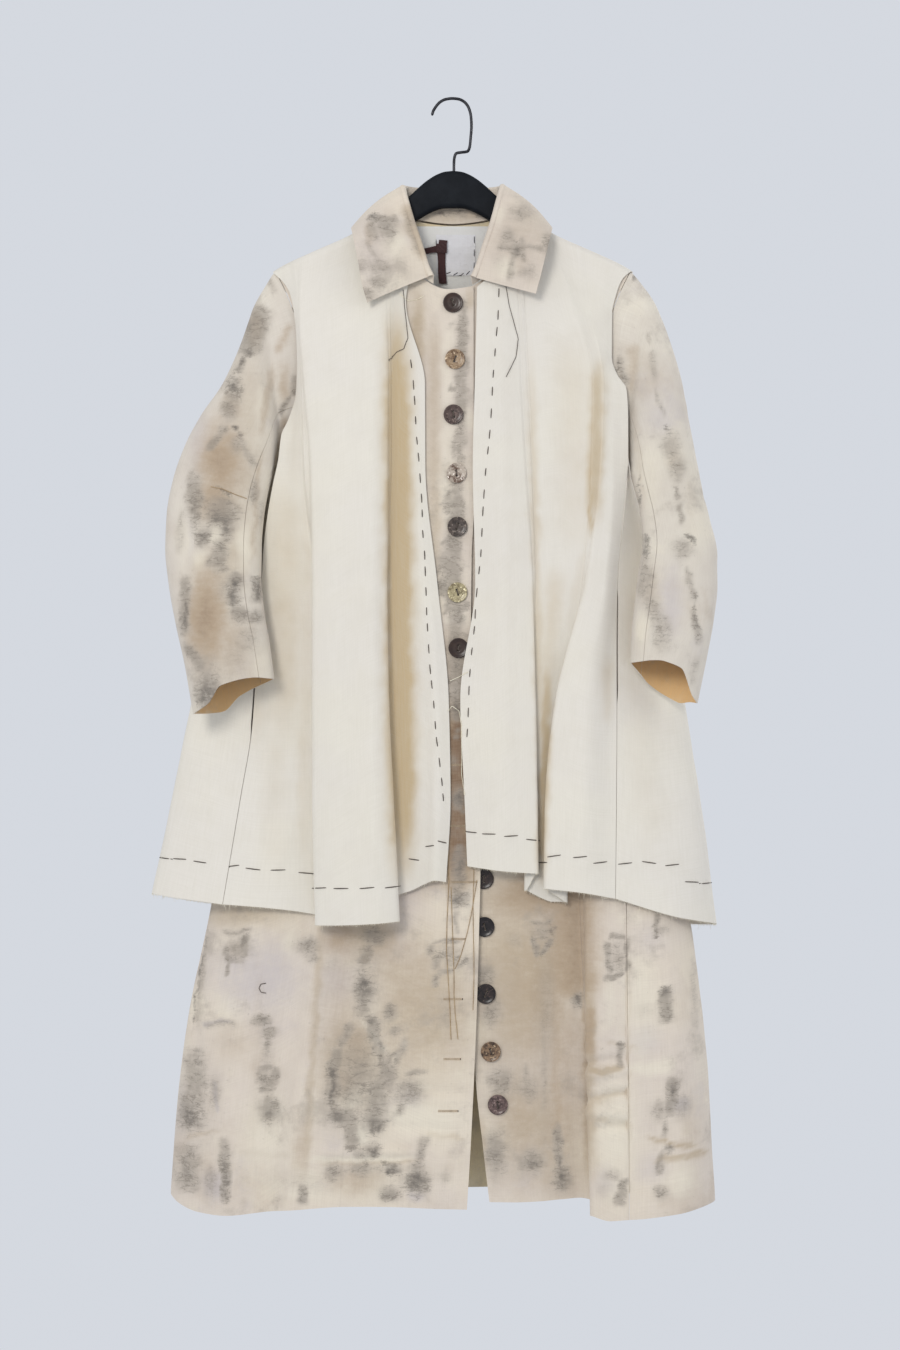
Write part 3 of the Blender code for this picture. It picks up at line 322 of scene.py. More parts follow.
def measured(grid):
    # Distance across and along the cloth at each point, in metres.
    across = np.linalg.norm(np.diff(grid, axis=0), axis=2)
    down = np.linalg.norm(np.diff(grid, axis=1), axis=2)
    u = np.concatenate([np.zeros((1, grid.shape[1])), np.cumsum(across, axis=0)])
    v = np.concatenate([np.zeros((grid.shape[0], 1)), np.cumsum(down, axis=1)], axis=1)
    return u.mean(axis=1)[:, None] * mm + 0 * u, v * mm


def gridFaces(grid):
    columns, rows = grid.shape[:2]
    return [(i * rows + j, (i + 1) * rows + j, (i + 1) * rows + j + 1, i * rows + j + 1)
            for i in range(columns - 1) for j in range(rows - 1)]


def addObject(name, mesh):
    piece = bpy.data.objects.new(name, mesh)
    bpy.context.collection.objects.link(piece)
    return piece


def takeUp(piece):
    # The one selected and active object.
    bpy.ops.object.select_all(action="DESELECT")
    bpy.context.view_layer.objects.active = piece
    piece.select_set(True)


def clothPiece(spec, grid, marks=None):
    # A thin shell of cloth on a grid of points, with the dye and painted shade as attributes and the
    # weave's own UV map.
    name = spec["name"]
    mesh = bpy.data.meshes.new(name)
    mesh.from_pydata([tuple(point * mm) for point in grid.reshape(-1, 3)], [], gridFaces(grid))
    u, v = measured(grid)
    uv = np.stack([u.ravel(), v.ravel()], axis=1)
    layer = mesh.uv_layers.new(name="weave")
    corner = np.zeros(len(mesh.loops), dtype=np.int32)
    mesh.loops.foreach_get("vertex_index", corner)
    layer.data.foreach_set("uv", uv[corner].ravel())
    if marks is not None:
        for word, part in (("dye", marks[..., :3]), ("tint", marks[..., 3:])):
            dye = mesh.attributes.new(word, "FLOAT_VECTOR", "POINT")
            dye.data.foreach_set("vector", part.astype(np.float32).ravel())
    piece = addObject(name, mesh)
    takeUp(piece)
    thick = piece.modifiers.new("cloth", "SOLIDIFY")
    thick.thickness = spec["wall"] * mm
    thick.offset = 0
    mesh.materials.append(spec["material"])
    if "inside" in spec:
        mesh.materials.append(spec["inside"])
        thick.material_offset = 1
    bpy.ops.object.modifier_apply(modifier="cloth")
    bpy.ops.object.shade_smooth_by_angle(angle=math.radians(50))
    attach(piece, "root")
    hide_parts(*spec["nodes"])
    return piece


def tubeInto(verts, faces, points, radii, sides=6):
    # Adds a closed thread along some points to lists of vertices and faces.
    start = len(verts)
    points = [Vector(p) for p in points]
    up = Vector((0.21, -1, 0.13)).normalized()
    for k, point in enumerate(points):
        way = (points[min(k + 1, len(points) - 1)] - points[max(k - 1, 0)]).normalized()
        side = way.cross(up)
        side = side.normalized() if side.length > 1e-4 else Vector((1, 0, 0))
        lift = side.cross(way).normalized()
        up = lift
        for a in range(sides):
            angle = 2 * math.pi * a / sides
            verts.append(point + (side * math.cos(angle) + lift * math.sin(angle)) * radii[k])
    count = len(points)
    for k in range(count - 1):
        for a in range(sides):
            b = (a + 1) % sides
            faces.append((start + k * sides + a, start + k * sides + b,
                          start + (k + 1) * sides + b, start + (k + 1) * sides + a))
    faces.append(tuple(start + a for a in reversed(range(sides))))
    faces.append(tuple(start + (count - 1) * sides + a for a in range(sides)))


def meshPiece(name, verts, faces, material, nodes=(), smooth=True):
    mesh = bpy.data.meshes.new(name)
    mesh.from_pydata([tuple(Vector(p) * mm) for p in verts], [], faces)
    shape = bmesh.new()
    shape.from_mesh(mesh)
    bmesh.ops.recalc_face_normals(shape, faces=shape.faces)
    shape.to_mesh(mesh)
    shape.free()
    piece = addObject(name, mesh)
    if smooth:
        takeUp(piece)
        bpy.ops.object.shade_smooth_by_angle(angle=math.radians(40))
    mesh.materials.append(material)
    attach(piece, "root")
    if nodes:
        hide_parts(*nodes)
    return piece


# materials

def srgb(*colour):
    linear = [((v / 255 + 0.055) / 1.055) ** 2.4 if v > 10.3 else v / 255 / 12.92 for v in colour]
    return tuple(linear) + (1.0,)


def newMaterial(name):
    material = bpy.data.materials.new(name)
    material.use_nodes = True
    tree = material.node_tree
    return material, tree, tree.nodes["Principled BSDF"]


def feed(tree, socket, value):
    if isinstance(value, bpy.types.NodeSocket):
        tree.links.new(value, socket)
    else:
        socket.default_value = value


def addNode(tree, kind, inputs, **settings):
    node = tree.nodes.new(kind)
    for word, value in settings.items():
        setattr(node, word, value)
    for key, value in inputs.items():
        feed(tree, node.inputs[key], value)
    return node


def mathOf(tree, operation, a, b=0.0):
    return addNode(tree, "ShaderNodeMath", {0: a, 1: b}, operation=operation).outputs[0]


def plus(tree, a, b):
    return mathOf(tree, "ADD", a, b)


def times(tree, a, b):
    return mathOf(tree, "MULTIPLY", a, b)


def swing(tree, value, size):
    # Noise from 0 to 1, moved to lie on both sides of 0.
    return times(tree, mathOf(tree, "SUBTRACT", value, 0.5), size)


def softStep(tree, value, low, high, top=1.0):
    inputs = {"Value": value, "From Min": low, "From Max": high, "To Max": top}
    return addNode(tree, "ShaderNodeMapRange", inputs, interpolation_type="SMOOTHSTEP").outputs["Result"]


def between(tree, value, low, high):
    inputs = {"Value": value, "To Min": low, "To Max": high}
    return addNode(tree, "ShaderNodeMapRange", inputs).outputs["Result"]


def mixColour(tree, share, a, b):
    node = addNode(tree, "ShaderNodeMix", {}, data_type="RGBA", clamp_factor=True)
    for number, value in ((0, share), (6, a), (7, b)):
        feed(tree, node.inputs[number], value)
    return node.outputs[2]


def noiseOf(tree, vector, scale, detail, rough):
    inputs = {"Vector": vector, "Scale": scale, "Detail": detail, "Roughness": rough}
    return addNode(tree, "ShaderNodeTexNoise", inputs).outputs["Fac"]


def stretched(tree, vector, *scale):
    return addNode(tree, "ShaderNodeMapping", {"Vector": vector, "Scale": scale}).outputs[0]


def splitOf(tree, vector):
    return addNode(tree, "ShaderNodeSeparateXYZ", {"Vector": vector}).outputs


def attributeOf(tree, word):
    # The three numbers of a vector attribute.
    return splitOf(tree, addNode(tree, "ShaderNodeAttribute", {}, attribute_name=word).outputs["Vector"])


def bumpOf(tree, height, strength, distance, under=None):
    inputs = {"Height": height, "Strength": strength, "Distance": distance}
    if under is not None:
        inputs["Normal"] = under
    return addNode(tree, "ShaderNodeBump", inputs).outputs[0]


def dyedAndShadedColour(tree, look, colour, place, threads):
    grey, dark, tan = attributeOf(tree, "dye")
    pale, lilac, khakiAndShade = attributeOf(tree, "tint")
    # feathery edges: the dye ran along the weft, so the noise is fine in height and long across
    across = stretched(tree, place, 60.0, 60.0, 170.0)
    run = swing(tree, noiseOf(tree, across, 1.0, 5.0, 0.68), 1.7)
    for value, size in ((noiseOf(tree, place, 130.0, 6.0, 0.75), 1.9),
                        (noiseOf(tree, place, 24.0, 4.0, 0.6), 1.2), (threads, 0.9)):
        run = plus(tree, run, swing(tree, value, size))
    ragged = mathOf(tree, "MAXIMUM", plus(tree, run, 1.0), 0.03)
    soft = plus(tree, times(tree, run, 0.3), 1.0)
    # washes over the whole cloth: noise, low, high, share, colour
    wash = plus(tree, noiseOf(tree, place, 9.0, 6.0, 0.62), times(tree, run, 0.03))
    other = noiseOf(tree, place, 14.0, 5.0, 0.6)
    blush = noiseOf(tree, place, 10.0, 7.0, 0.62)
    for value, low, high, top, shade in ((wash, 0.54, 0.72, 0.5, "lilac"), (other, 0.55, 0.72, 0.5, "pale"),
                                         (blush, 0.5, 0.72, 0.3, "tan")):
        colour = mixColour(tree, softStep(tree, value, low, high, top), colour, look[shade])
    patchy = plus(tree, times(tree, noiseOf(tree, place, 120.0, 5.0, 0.65), 1.3), 0.3)
    # leaf veins: thin branching lines where the noise crosses its middle
    away = mathOf(tree, "ABSOLUTE", mathOf(tree, "SUBTRACT", noiseOf(tree, across, 0.62, 6.0, 0.6), 0.5))
    veins = mathOf(tree, "SUBTRACT", 1.0, softStep(tree, away, 0.004, 0.03))
    veins = times(tree, veins, plus(tree, grey, dark))
    # painted shade and highlights: the khaki and tan layers darken recesses and crease troughs as well as
    # staining, the brown mix over the strongest tan paints the deepest shadows, and the pale layer also
    # lights crease ridges
    for share, edge, low, high, top, shade in (
            (lilac, soft, 0.1, 1.0, 0.8, "lilac"), (khakiAndShade, soft, 0.05, 1.0, 0.85, "khakiAndShade"),
            (pale, soft, 0.1, 1.0, 0.85, "pale"), (tan, soft, 0.08, 1.1, 0.9, "tan"),
            (tan, soft, 0.9, 2.0, 0.9, "brown"), (grey, soft, 0.02, 0.75, 0.62, "haze"),
            (grey, ragged, 0.25, 1.05, 0.42, "grey"), (veins, soft, 0.12, 0.7, 0.6, "grey"),
            (dark, ragged, 0.25, 1.1, 0.66, "ink")):
        amount = softStep(tree, times(tree, share, edge), low, high, top)
        if shade in ("grey", "ink"):
            amount = mathOf(tree, "MINIMUM", times(tree, amount, patchy), 0.92)
        colour = mixColour(tree, amount, colour, look[shade])
    smoke = plus(tree, noiseOf(tree, place, 15.0, 8.0, 0.66), times(tree, run, 0.04))
    colour = mixColour(tree, softStep(tree, smoke, 0.54, 0.72, 0.55), colour, look["haze"])
    speck = softStep(tree, noiseOf(tree, place, 240.0, 2.0, 0.5), 0.70, 0.80, 0.2)
    return mixColour(tree, speck, colour, look["grey"])


def clothMaterial(name, look):
    material, tree, shader = newMaterial(name)
    place = addNode(tree, "ShaderNodeTexCoord", {}).outputs["Object"]
    weave = addNode(tree, "ShaderNodeUVMap", {}, uv_map="weave").outputs["UV"]
    broad = noiseOf(tree, place, 7.0, 3.0, 0.55)
    middle = noiseOf(tree, place, 26.0, 4.0, 0.6)
    colour = mixColour(tree, softStep(tree, broad, 0.35, 0.68), look["base"], look["warm"])
    mottle = softStep(tree, middle, 0.42, 0.75, look.get("mottle", 0.4))
    colour = mixColour(tree, mottle, colour, look["dull"])
    # single thicker threads, long in the warp and in the weft
    warpThread = noiseOf(tree, stretched(tree, weave, 900.0, 22.0, 1.0), 1.0, 2.0, 0.5)
    weftThread = noiseOf(tree, stretched(tree, weave, 22.0, 900.0, 1.0), 1.0, 2.0, 0.5)
    threads = times(tree, plus(tree, warpThread, weftThread), 0.5)
    if look.get("dyed"):
        colour = dyedAndShadedColour(tree, look, colour, place, threads)
    if "shaded" in look:
        # painted shade: the canvas is darkened to a warm khaki along its folds and recesses, where shade
        # falls, following the third tint layer
        foldShade = times(tree, attributeOf(tree, "tint")[2], plus(tree, times(tree, middle, 0.6), 0.7))
        colour = mixColour(tree, softStep(tree, foldShade, 0.02, 1.0), colour, look["shaded"])
    tint = times(tree, softStep(tree, threads, 0.32, 0.68), look["threadTint"])
    feed(tree, shader.inputs["Base Color"], mixColour(tree, tint, colour, look["thread"]))
    # plain weave as height, then threads and a soft crumple
    turns = 2 * math.pi / look["thread mm"] / mm
    u, v = splitOf(tree, weave)[:2]
    warp, weft = [mathOf(tree, "SINE", times(tree, way, turns)) for way in (u, v)]
    height = plus(tree, times(tree, times(tree, warp, weft), 0.5), times(tree, threads, 1.6))
    soft = noiseOf(tree, place, look.get("crumpleScale", 34.0), 5.0, 0.6)
    crumple = bumpOf(tree, soft, look["crumple"], 0.004)
    bump = bumpOf(tree, height, look.get("weaveStrength", 0.5), 0.0003, crumple)
    feed(tree, shader.inputs["Normal"], bump)
    rough = softStep(tree, noiseOf(tree, place, 150.0, 5.0, 0.7), 0.3, 0.7)
    feed(tree, shader.inputs["Roughness"], between(tree, rough, 0.82, 0.96))
    shader.inputs["Specular IOR Level"].default_value = 0.25
    shader.inputs["Sheen Weight"].default_value = look.get("sheen", 0.12)
    shader.inputs["Sheen Roughness"].default_value = 0.6
    return material


def plainMaterial(name, look):
    # A smooth or spotted finish: base, spots and sometimes a third colour.
    material, tree, shader = newMaterial(name)
    place = addNode(tree, "ShaderNodeTexCoord", {}).outputs["Object"]
    blotches = softStep(tree, noiseOf(tree, place, look["scale"], 5.0, 0.65), 0.4, 0.62)
    colour = mixColour(tree, blotches, look["base"], look["spots"])
    if "third" in look:
        veins = noiseOf(tree, place, look["scale"] * 2.3, 6.0, 0.7)
        colour = mixColour(tree, softStep(tree, veins, 0.55, 0.68), colour, look["third"])
    marks = noiseOf(tree, place, 180.0, 4.0, 0.6)
    feed(tree, shader.inputs["Base Color"], colour)
    feed(tree, shader.inputs["Roughness"], between(tree, marks, *look["rough"]))
    feed(tree, shader.inputs["Normal"], bumpOf(tree, marks, look.get("bump", 0.2), 0.0002))
    shader.inputs["Metallic"].default_value = look.get("metal", 0.0)
    shader.inputs["Coat Weight"].default_value = look.get("coat", 0.0)
    shader.inputs["Coat Roughness"].default_value = 0.15
    shader.inputs["Specular IOR Level"].default_value = look.get("shine", 0.5)
    return material


canvasLook = {
    "base": srgb(227, 221, 211), "warm": srgb(229, 223, 210), "dull": srgb(220, 213, 200),
    "thread": srgb(206, 200, 184), "shaded": srgb(194, 172, 136),
    "thread mm": 1.1, "threadTint": 0.22, "mottle": 0.35, "crumple": 0.22, "weaveStrength": 0.55,
}
# the khaki and tan colours also serve as painted shade, brown as painted deep shadow and pale as painted
# highlight, besides the cloth's own stains
dyedLook = {
    "dyed": True, "base": srgb(219, 207, 194), "warm": srgb(228, 216, 197), "dull": srgb(210, 197, 185),
    "lilac": srgb(198, 190, 190), "pale": srgb(232, 223, 204), "tan": srgb(176, 154, 128),
    "khakiAndShade": srgb(184, 165, 138), "grey": srgb(126, 118, 108), "ink": srgb(84, 80, 76),
    "haze": srgb(168, 158, 146), "brown": srgb(122, 94, 70), "thread": srgb(188, 175, 158),
    "thread mm": 1.0, "threadTint": 0.2, "crumple": 0.4,
}
facingLook = {
    "base": srgb(226, 224, 220), "warm": srgb(230, 228, 222), "dull": srgb(214, 212, 208),
    "thread": srgb(200, 198, 194), "thread mm": 0.8, "threadTint": 0.15, "crumple": 0.3,
}
labelLook = dict(facingLook, base=srgb(228, 226, 228), warm=srgb(232, 230, 232), crumple=0.5,
                 crumpleScale=60.0)
ribbonLook = {
    "base": srgb(62, 34, 34), "warm": srgb(70, 38, 38), "dull": srgb(48, 26, 27),
    "thread": srgb(40, 20, 22), "thread mm": 0.6, "threadTint": 0.3, "crumple": 0.2, "sheen": 0.3,
}
canvas = clothMaterial("undyed canvas", canvasLook)
dyedCloth = clothMaterial("plant dyed cloth", dyedLook)
facingCloth = clothMaterial("white facing", facingLook)
labelCloth = clothMaterial("bare label", labelLook)
ribbonCloth = clothMaterial("brown ribbon", ribbonLook)
# name, base, spots, scale, roughness
threadLooks = {
    "dark": ("dark basting thread", (92, 82, 74), (70, 62, 56), 220.0, (0.75, 0.95)),
    "tan": ("tan thread", (176, 152, 118), (150, 126, 96), 160.0, (0.7, 0.9)),
    "cream": ("cream thread", (236, 229, 208), (220, 210, 186), 160.0, (0.75, 0.95)),
    "cloth": ("beige thread", (190, 172, 148), (172, 154, 130), 160.0, (0.75, 0.95)),
    "black": ("black label thread", (52, 50, 54), (36, 35, 38), 160.0, (0.7, 0.9)),
}
threads = {}
for word, (name, base, spots, scale, rough) in threadLooks.items():
    threads[word] = plainMaterial(name, {"base": srgb(*base), "spots": srgb(*spots), "scale": scale,
                                         "rough": rough, "bump": 0.3})
print("materials made")


# the coat

coat = {
    # height, right, left
    "sideSeam": ((-411, 203, 203), (-440, 203.8, 203.3), (-560, 226, 205), (-760, 256, 206),
        (-988, 295, 208), (-1125, 323, 209), (-1219, 335, 210), (-1340, 344, 210)),
    # height, across, depth in front, depth behind
    "armhole": ((-213, 214, 20, 18), (-240, 201, 20, 20), (-275, 189, 20, 23), (-311, 184.5, 20, 25),
        (-350, 187, 18, 24), (-385, 195, 12, 13.5), (-403, 200.5, 5, 5), (-411, 203, 0.2, 0.2)),
    "depth": ((-250, 26), (-350, 30), (-450, 31), (-590, 33), (-730, 36), (-850, 38), (-970, 40),
        (-1100, 42), (-1340, 46)),
    "levels": (-411, -950, -1340), "backLevels": (-260, -411, -560, -760, -950, -1150, -1340),
    # height, right panel, left panel
    "frontEdge": ((-229, 25, -16), (-500, 25, -15), (-560, 22.5, -13), (-670, 21.5, -6), (-760, 24, 8),
        (-850, 28, 20), (-930, 33, 24), (-1000, 31.5, 24), (-1090, 29, 25), (-1180, 25.5, 27),
        (-1270, 21, 36), (-1345, 16.5, 45)),
    "underLap": 2.8, "shoulderHalf": 214, "underarmHalf": 203,
}
coatFrontRight = {
    "name": "coat_front_right_cloth", "nodes": ["coat_front_right", "coat_front_right_skirt"],
    "slot": "coat_cloth", "wall": 1.5, "material": dyedCloth, "restsOn": ["hanger_body"],
    "cut": (0.4, 1.16),
    # name, top across, top height, across share, round share, lift, hem, bend radius, spans
    "columns": (
        ("edge", 25, -231, (0, 0, 0), (1, 1, 1), (0, 3.5, 4), -1343, 0, 2),
        ("placket", -6, -235, (0.13, 0.11, 0.1), (1, 1, 1), (0, 3.5, 5), -1342, 0, 1),
        ("inner", -42, -216, (0.27, 0.27, 0.26), (1, 1, 1), (0, -1, -2), -1341, 0, 2),
        ("neck", -64, -141, (0.42, 0.42, 0.42), (0.99, 0.99, 0.99), (0, 0, 3), -1340, 0, 3),
        ("ridge", -71, None, (0.55, 0.55, 0.575), (0.97, 0.96, 0.97), (0, 4, 13), -1342, 0, 2),
        ("valley", -104, None, (0.68, 0.67, 0.68), (0.93, 0.9, 0.91), (0, 0, -3), -1348, 0, 1),
        ("outer ridge", -145, None, (0.8, 0.8, 0.8), (0.86, 0.8, 0.8), (0, 1, 6), -1352, 0, 2),
        ("turn", -180, None, (0.9, 0.9, 0.9), (0.8, 0.62, 0.62), (0, 0, 1), -1350, 0, 1),
        ("near seam", -200, None, (0.96, 0.972, 0.975), (0.6, 0.33, 0.31), (0, 0, 0), -1340, 0, 1),
        ("seam turn", -213.4, None, (0.9975, 0.9975, 0.9975), (0.11, 0.11, 0.11), (0, 0, 0), -1333, 0, 1),
        ("side", -214, None, (1, 1, 1), (0, 0, 0), (0, 0, 0), -1331, 0, 0)),
}
coatFrontLeft = {
    "name": "coat_front_left_cloth", "nodes": ["coat_front_left", "coat_front_left_skirt"],
    "slot": "coat_cloth", "wall": 1.5, "material": dyedCloth, "restsOn": ["hanger_body"],
    "cut": (0.4, 1.17),
    "columns": (
        ("edge", -16, -235, (0, 0, 0), (1, 1, 1), (0, -3.2, -3), -1336, 0, 1),
        ("placket", 12, -234, (0.15, 0.16, 0.16), (1, 1, 1), (0, -2.6, -1.5), -1336, 0, 1),
        ("inner", 42, -216, (0.35, 0.36, 0.36), (1, 1, 1), (0, 0, 2), -1334, 0, 2),
        ("neck", 64, -141, (0.52, 0.52, 0.52), (0.99, 1, 1), (0, 1, 4), -1331, 0, 3),
        ("recess", 71, None, (0.66, 0.62, 0.66), (0.97, 1, 1), (0, 0, -1), -1330, 0, 2),
        ("turn in", 110, None, (0.78, 0.695, 0.84), (0.93, 1, 1), (0, 1, 5), -1336, 4, 1),
        ("fold edge", 150, None, (0.87, 0.73, 0.725), (0.84, 1, 1), (0, 8, 19), -1347, 4.5, 2),
        ("fold", 190, None, (0.945, 0.88, 0.86), (0.68, 1, 1), (0, 13, 27), -1352, 0, 2),
        ("seam turn", 213.4, None, (0.9975, 0.98, 0.98), (0.11, 1, 1), (0, 11, 25), -1351, 0, 1),
        ("side", 214, None, (1, 1, 1), (0, 1, 1), (0, 11, 24), -1351, 0, 0)),
}
coatBack = {
    "name": "coat_back_cloth", "nodes": ["coat_back", "coat_back_skirt"], "slot": "coat_cloth",
    "wall": 1.5, "material": dyedCloth, "restsOn": ["hanger_body"], "cut": (0.8, 1.2),
    # name, top across, top height, across, depth, hem, bend radius, spans
    "columns": (
        ("seam turn", -213.4, None, (-194, -202.5, -225.4, -255.3, -288, -326, -343),
         (20, 3.5, 4, 4.5, 5, 5.5, 6), -1332, 0, 1),
        ("near seam", -194, None, (-184, -195, -219, -247, -278, -315, -333), (20, 9, 12, 16, 19, 22, 24),
         -1334, 0, 1),
        ("turn", -182, None, (-175, -184, -204, -229, -257, -292, -310), (21, 20, 22, 26, 29, 32, 34),
         -1337, 0, 1),
        ("outer", -150, None, (-146, -153, -168, -188, -210, -240, -256), (21, 26, 28, 31, 35, 40, 44),
         -1341, 0, 1),
        ("valley", -104, None, (-103, -107, -115, -127, -140, -158, -170), (20, 27, 28, 29, 31, 31, 30),
         -1338, 0, 1),
        ("ridge", -71, None, (-68, -71, -74, -80, -88, -98, -104), (20, 26, 29, 32, 36, 40, 43), -1336, 0,
         3),
        ("neck", -64, -141, (-52, -53, -54, -58, -64, -70, -74), (20, 26, 29, 32, 37, 42, 46), -1335, 0, 2),
        ("middle", 0, -152, (0, 0, 0, 0, 0, 0, 0), (20, 25, 27, 29, 31, 33, 34), -1333, 0, 2),
        ("neck left", 64, -141, (52, 53, 54, 57, 61, 66, 70), (20, 26, 29, 33, 38, 43, 47), -1335, 0, 3),
        ("ridge left", 71, None, (68, 71, 73, 77, 83, 90, 96), (20, 26, 29, 33, 37, 41, 44), -1336, 0, 1),
        ("valley left", 104, None, (103, 107, 113, 122, 132, 145, 154), (20, 27, 28, 28, 29, 29, 28),
         -1338, 0, 1),
        ("outer left", 150, None, (146, 153, 166, 182, 200, 220, 232), (21, 26, 29, 32, 36, 40, 42),
         -1342, 0, 1),
        ("turn left", 178, None, (172, 176, 199, 230, 262, 292, 302), (21, 22, 21, 20, 18, 14, 12), -1340,
         0, 2),
        ("fold left", 192, None, (181, 188, 212, 246, 280, 306, 317), (21, 16, 7, -1, -10, -18, -22),
         -1337, 0, 2),
        ("wrap left", 204, None, (187, 197, 213, 232, 250, 264, 272), (20, 9, -5, -25, -44, -56, -63),
         -1345, 0, 2),
        ("seam turn left", 213.4, None, (194, 202.5, 208.5, 214, 220, 224, 225),
         (20, 3.5, -10, -32, -50, -60, -70), -1350, 0, 1)),
}


def seamDepth(z, side):
    hole = tableAt(coat["armhole"], 2, z)
    last = (coatFrontRight if side < 0 else coatFrontLeft)["columns"][-1]
    base = tableAt(coat["depth"], 1, z)
    below = 0.2 + (base - 0.2) * smoothThrough(coat["levels"], last[4], z)
    below = below + smoothThrough(coat["levels"], last[5], z)
    return np.where(z > underarm, hole, below)


def seamAcross(z, side):
    below = tableAt(coat["sideSeam"], 1 if side < 0 else 2, z)
    return np.where(z > underarm, tableAt(coat["armhole"], 1, z), below)


def coatFront(spec, side, under):
    # side is -1 for the wearer's right, under how far this front lies under the other one.
    columns = []
    for name, top, height, across, rounding, lift, hem, radius, spans in spec["columns"]:
        start = startOf(top, height, drape["coatRise"])
        z = rowsFrom(start, hem, drape["coatRise"], ((-880, 100), (None, fineness["hem"])))
        edge = tableAt(coat["frontEdge"], 1 if side < 0 else 2, z)
        seam = side * seamAcross(z, side)
        topShare = (top - edge[0]) / (seam[0] - edge[0])
        share = smoothThrough((start,) + coat["levels"], (topShare,) + across, z)
        x = edge + (seam - edge) * share
        edgeDepth = np.where(z > underarm, tableAt(coat["armhole"], 2, z), 0.2)
        base = tableAt(coat["depth"], 1, z)
        part = smoothThrough(coat["levels"], rounding, z)
        if name == "seam turn":
            blend = np.clip((-380 - z) / 62, 0, 1)
            x = edge + (seam - edge) * (0.98 + (share - 0.98) * blend)
            part = 0.25 + (part - 0.25) * blend
        full = edgeDepth + (base - edgeDepth) * part
        full = full + smoothThrough(coat["levels"], lift, z) - under * (1 - share ** 2)
        if name == "side":
            x = x - side * drape["gap"] * (z <= underarm)
            full = np.maximum(full, 0) + drape["gap"]
        columns.append(keyColumn(x, full, z, height, radius, spans))
    return hangPanel(columns, drape["coatRise"], True, fineness["coatFront"])


def coatBackGrid(spec):
    # The side columns follow the seams of the fronts.
    half, armHalf = coat["shoulderHalf"], coat["underarmHalf"]
    ends = [("side", side * half, None, None, None, hem, 0, 1) for side, hem in ((-1, -1331), (1, -1351))]
    columns = []
    for name, top, height, across, depth, hem, radius, spans in [ends[0], *spec["columns"], ends[1]]:
        start = startOf(top, height, drape["coatRise"])
        z = rowsFrom(start, hem, drape["coatRise"], ((-880, 60), (None, fineness["backHem"])))
        side = -1 if top < 0 else 1
        if name == "side":
            x = side * (seamAcross(z, side) + drape["gap"] * (z <= underarm))
            below = -seamDepth(z, side) if side > 0 else 0.0
            full = np.where(z > underarm, tableAt(coat["armhole"], 3, z), below) + drape["gap"]
        else:
            share = smoothThrough((start, underarm), (top / half, across[1] / armHalf), z)
            if name.startswith("seam turn"):
                share = side * np.full(len(z), 0.98 if side > 0 else 0.972)
            below = smoothThrough(coat["backLevels"], across, z)
            x = np.where(z > underarm, seamAcross(z, 1) * share, below)
            full = smoothThrough(coat["backLevels"], depth, z)
            hole = tableAt(coat["armhole"], 3, z)
            inward = np.clip((1 - np.abs(share)) / 0.25, 0, 1)
            full = np.where(z > underarm, hole + (full - hole) * inward, full)
        columns.append(keyColumn(x, full, z, height, radius, spans))
    return hangPanel(columns, drape["coatRise"], False, fineness["coatBack"])


frontRight, neckRight = coatFront(coatFrontRight, -1, 0.0)
frontLeft, neckLeft = coatFront(coatFrontLeft, 1, coat["underLap"])
back, neckBack = coatBackGrid(coatBack)
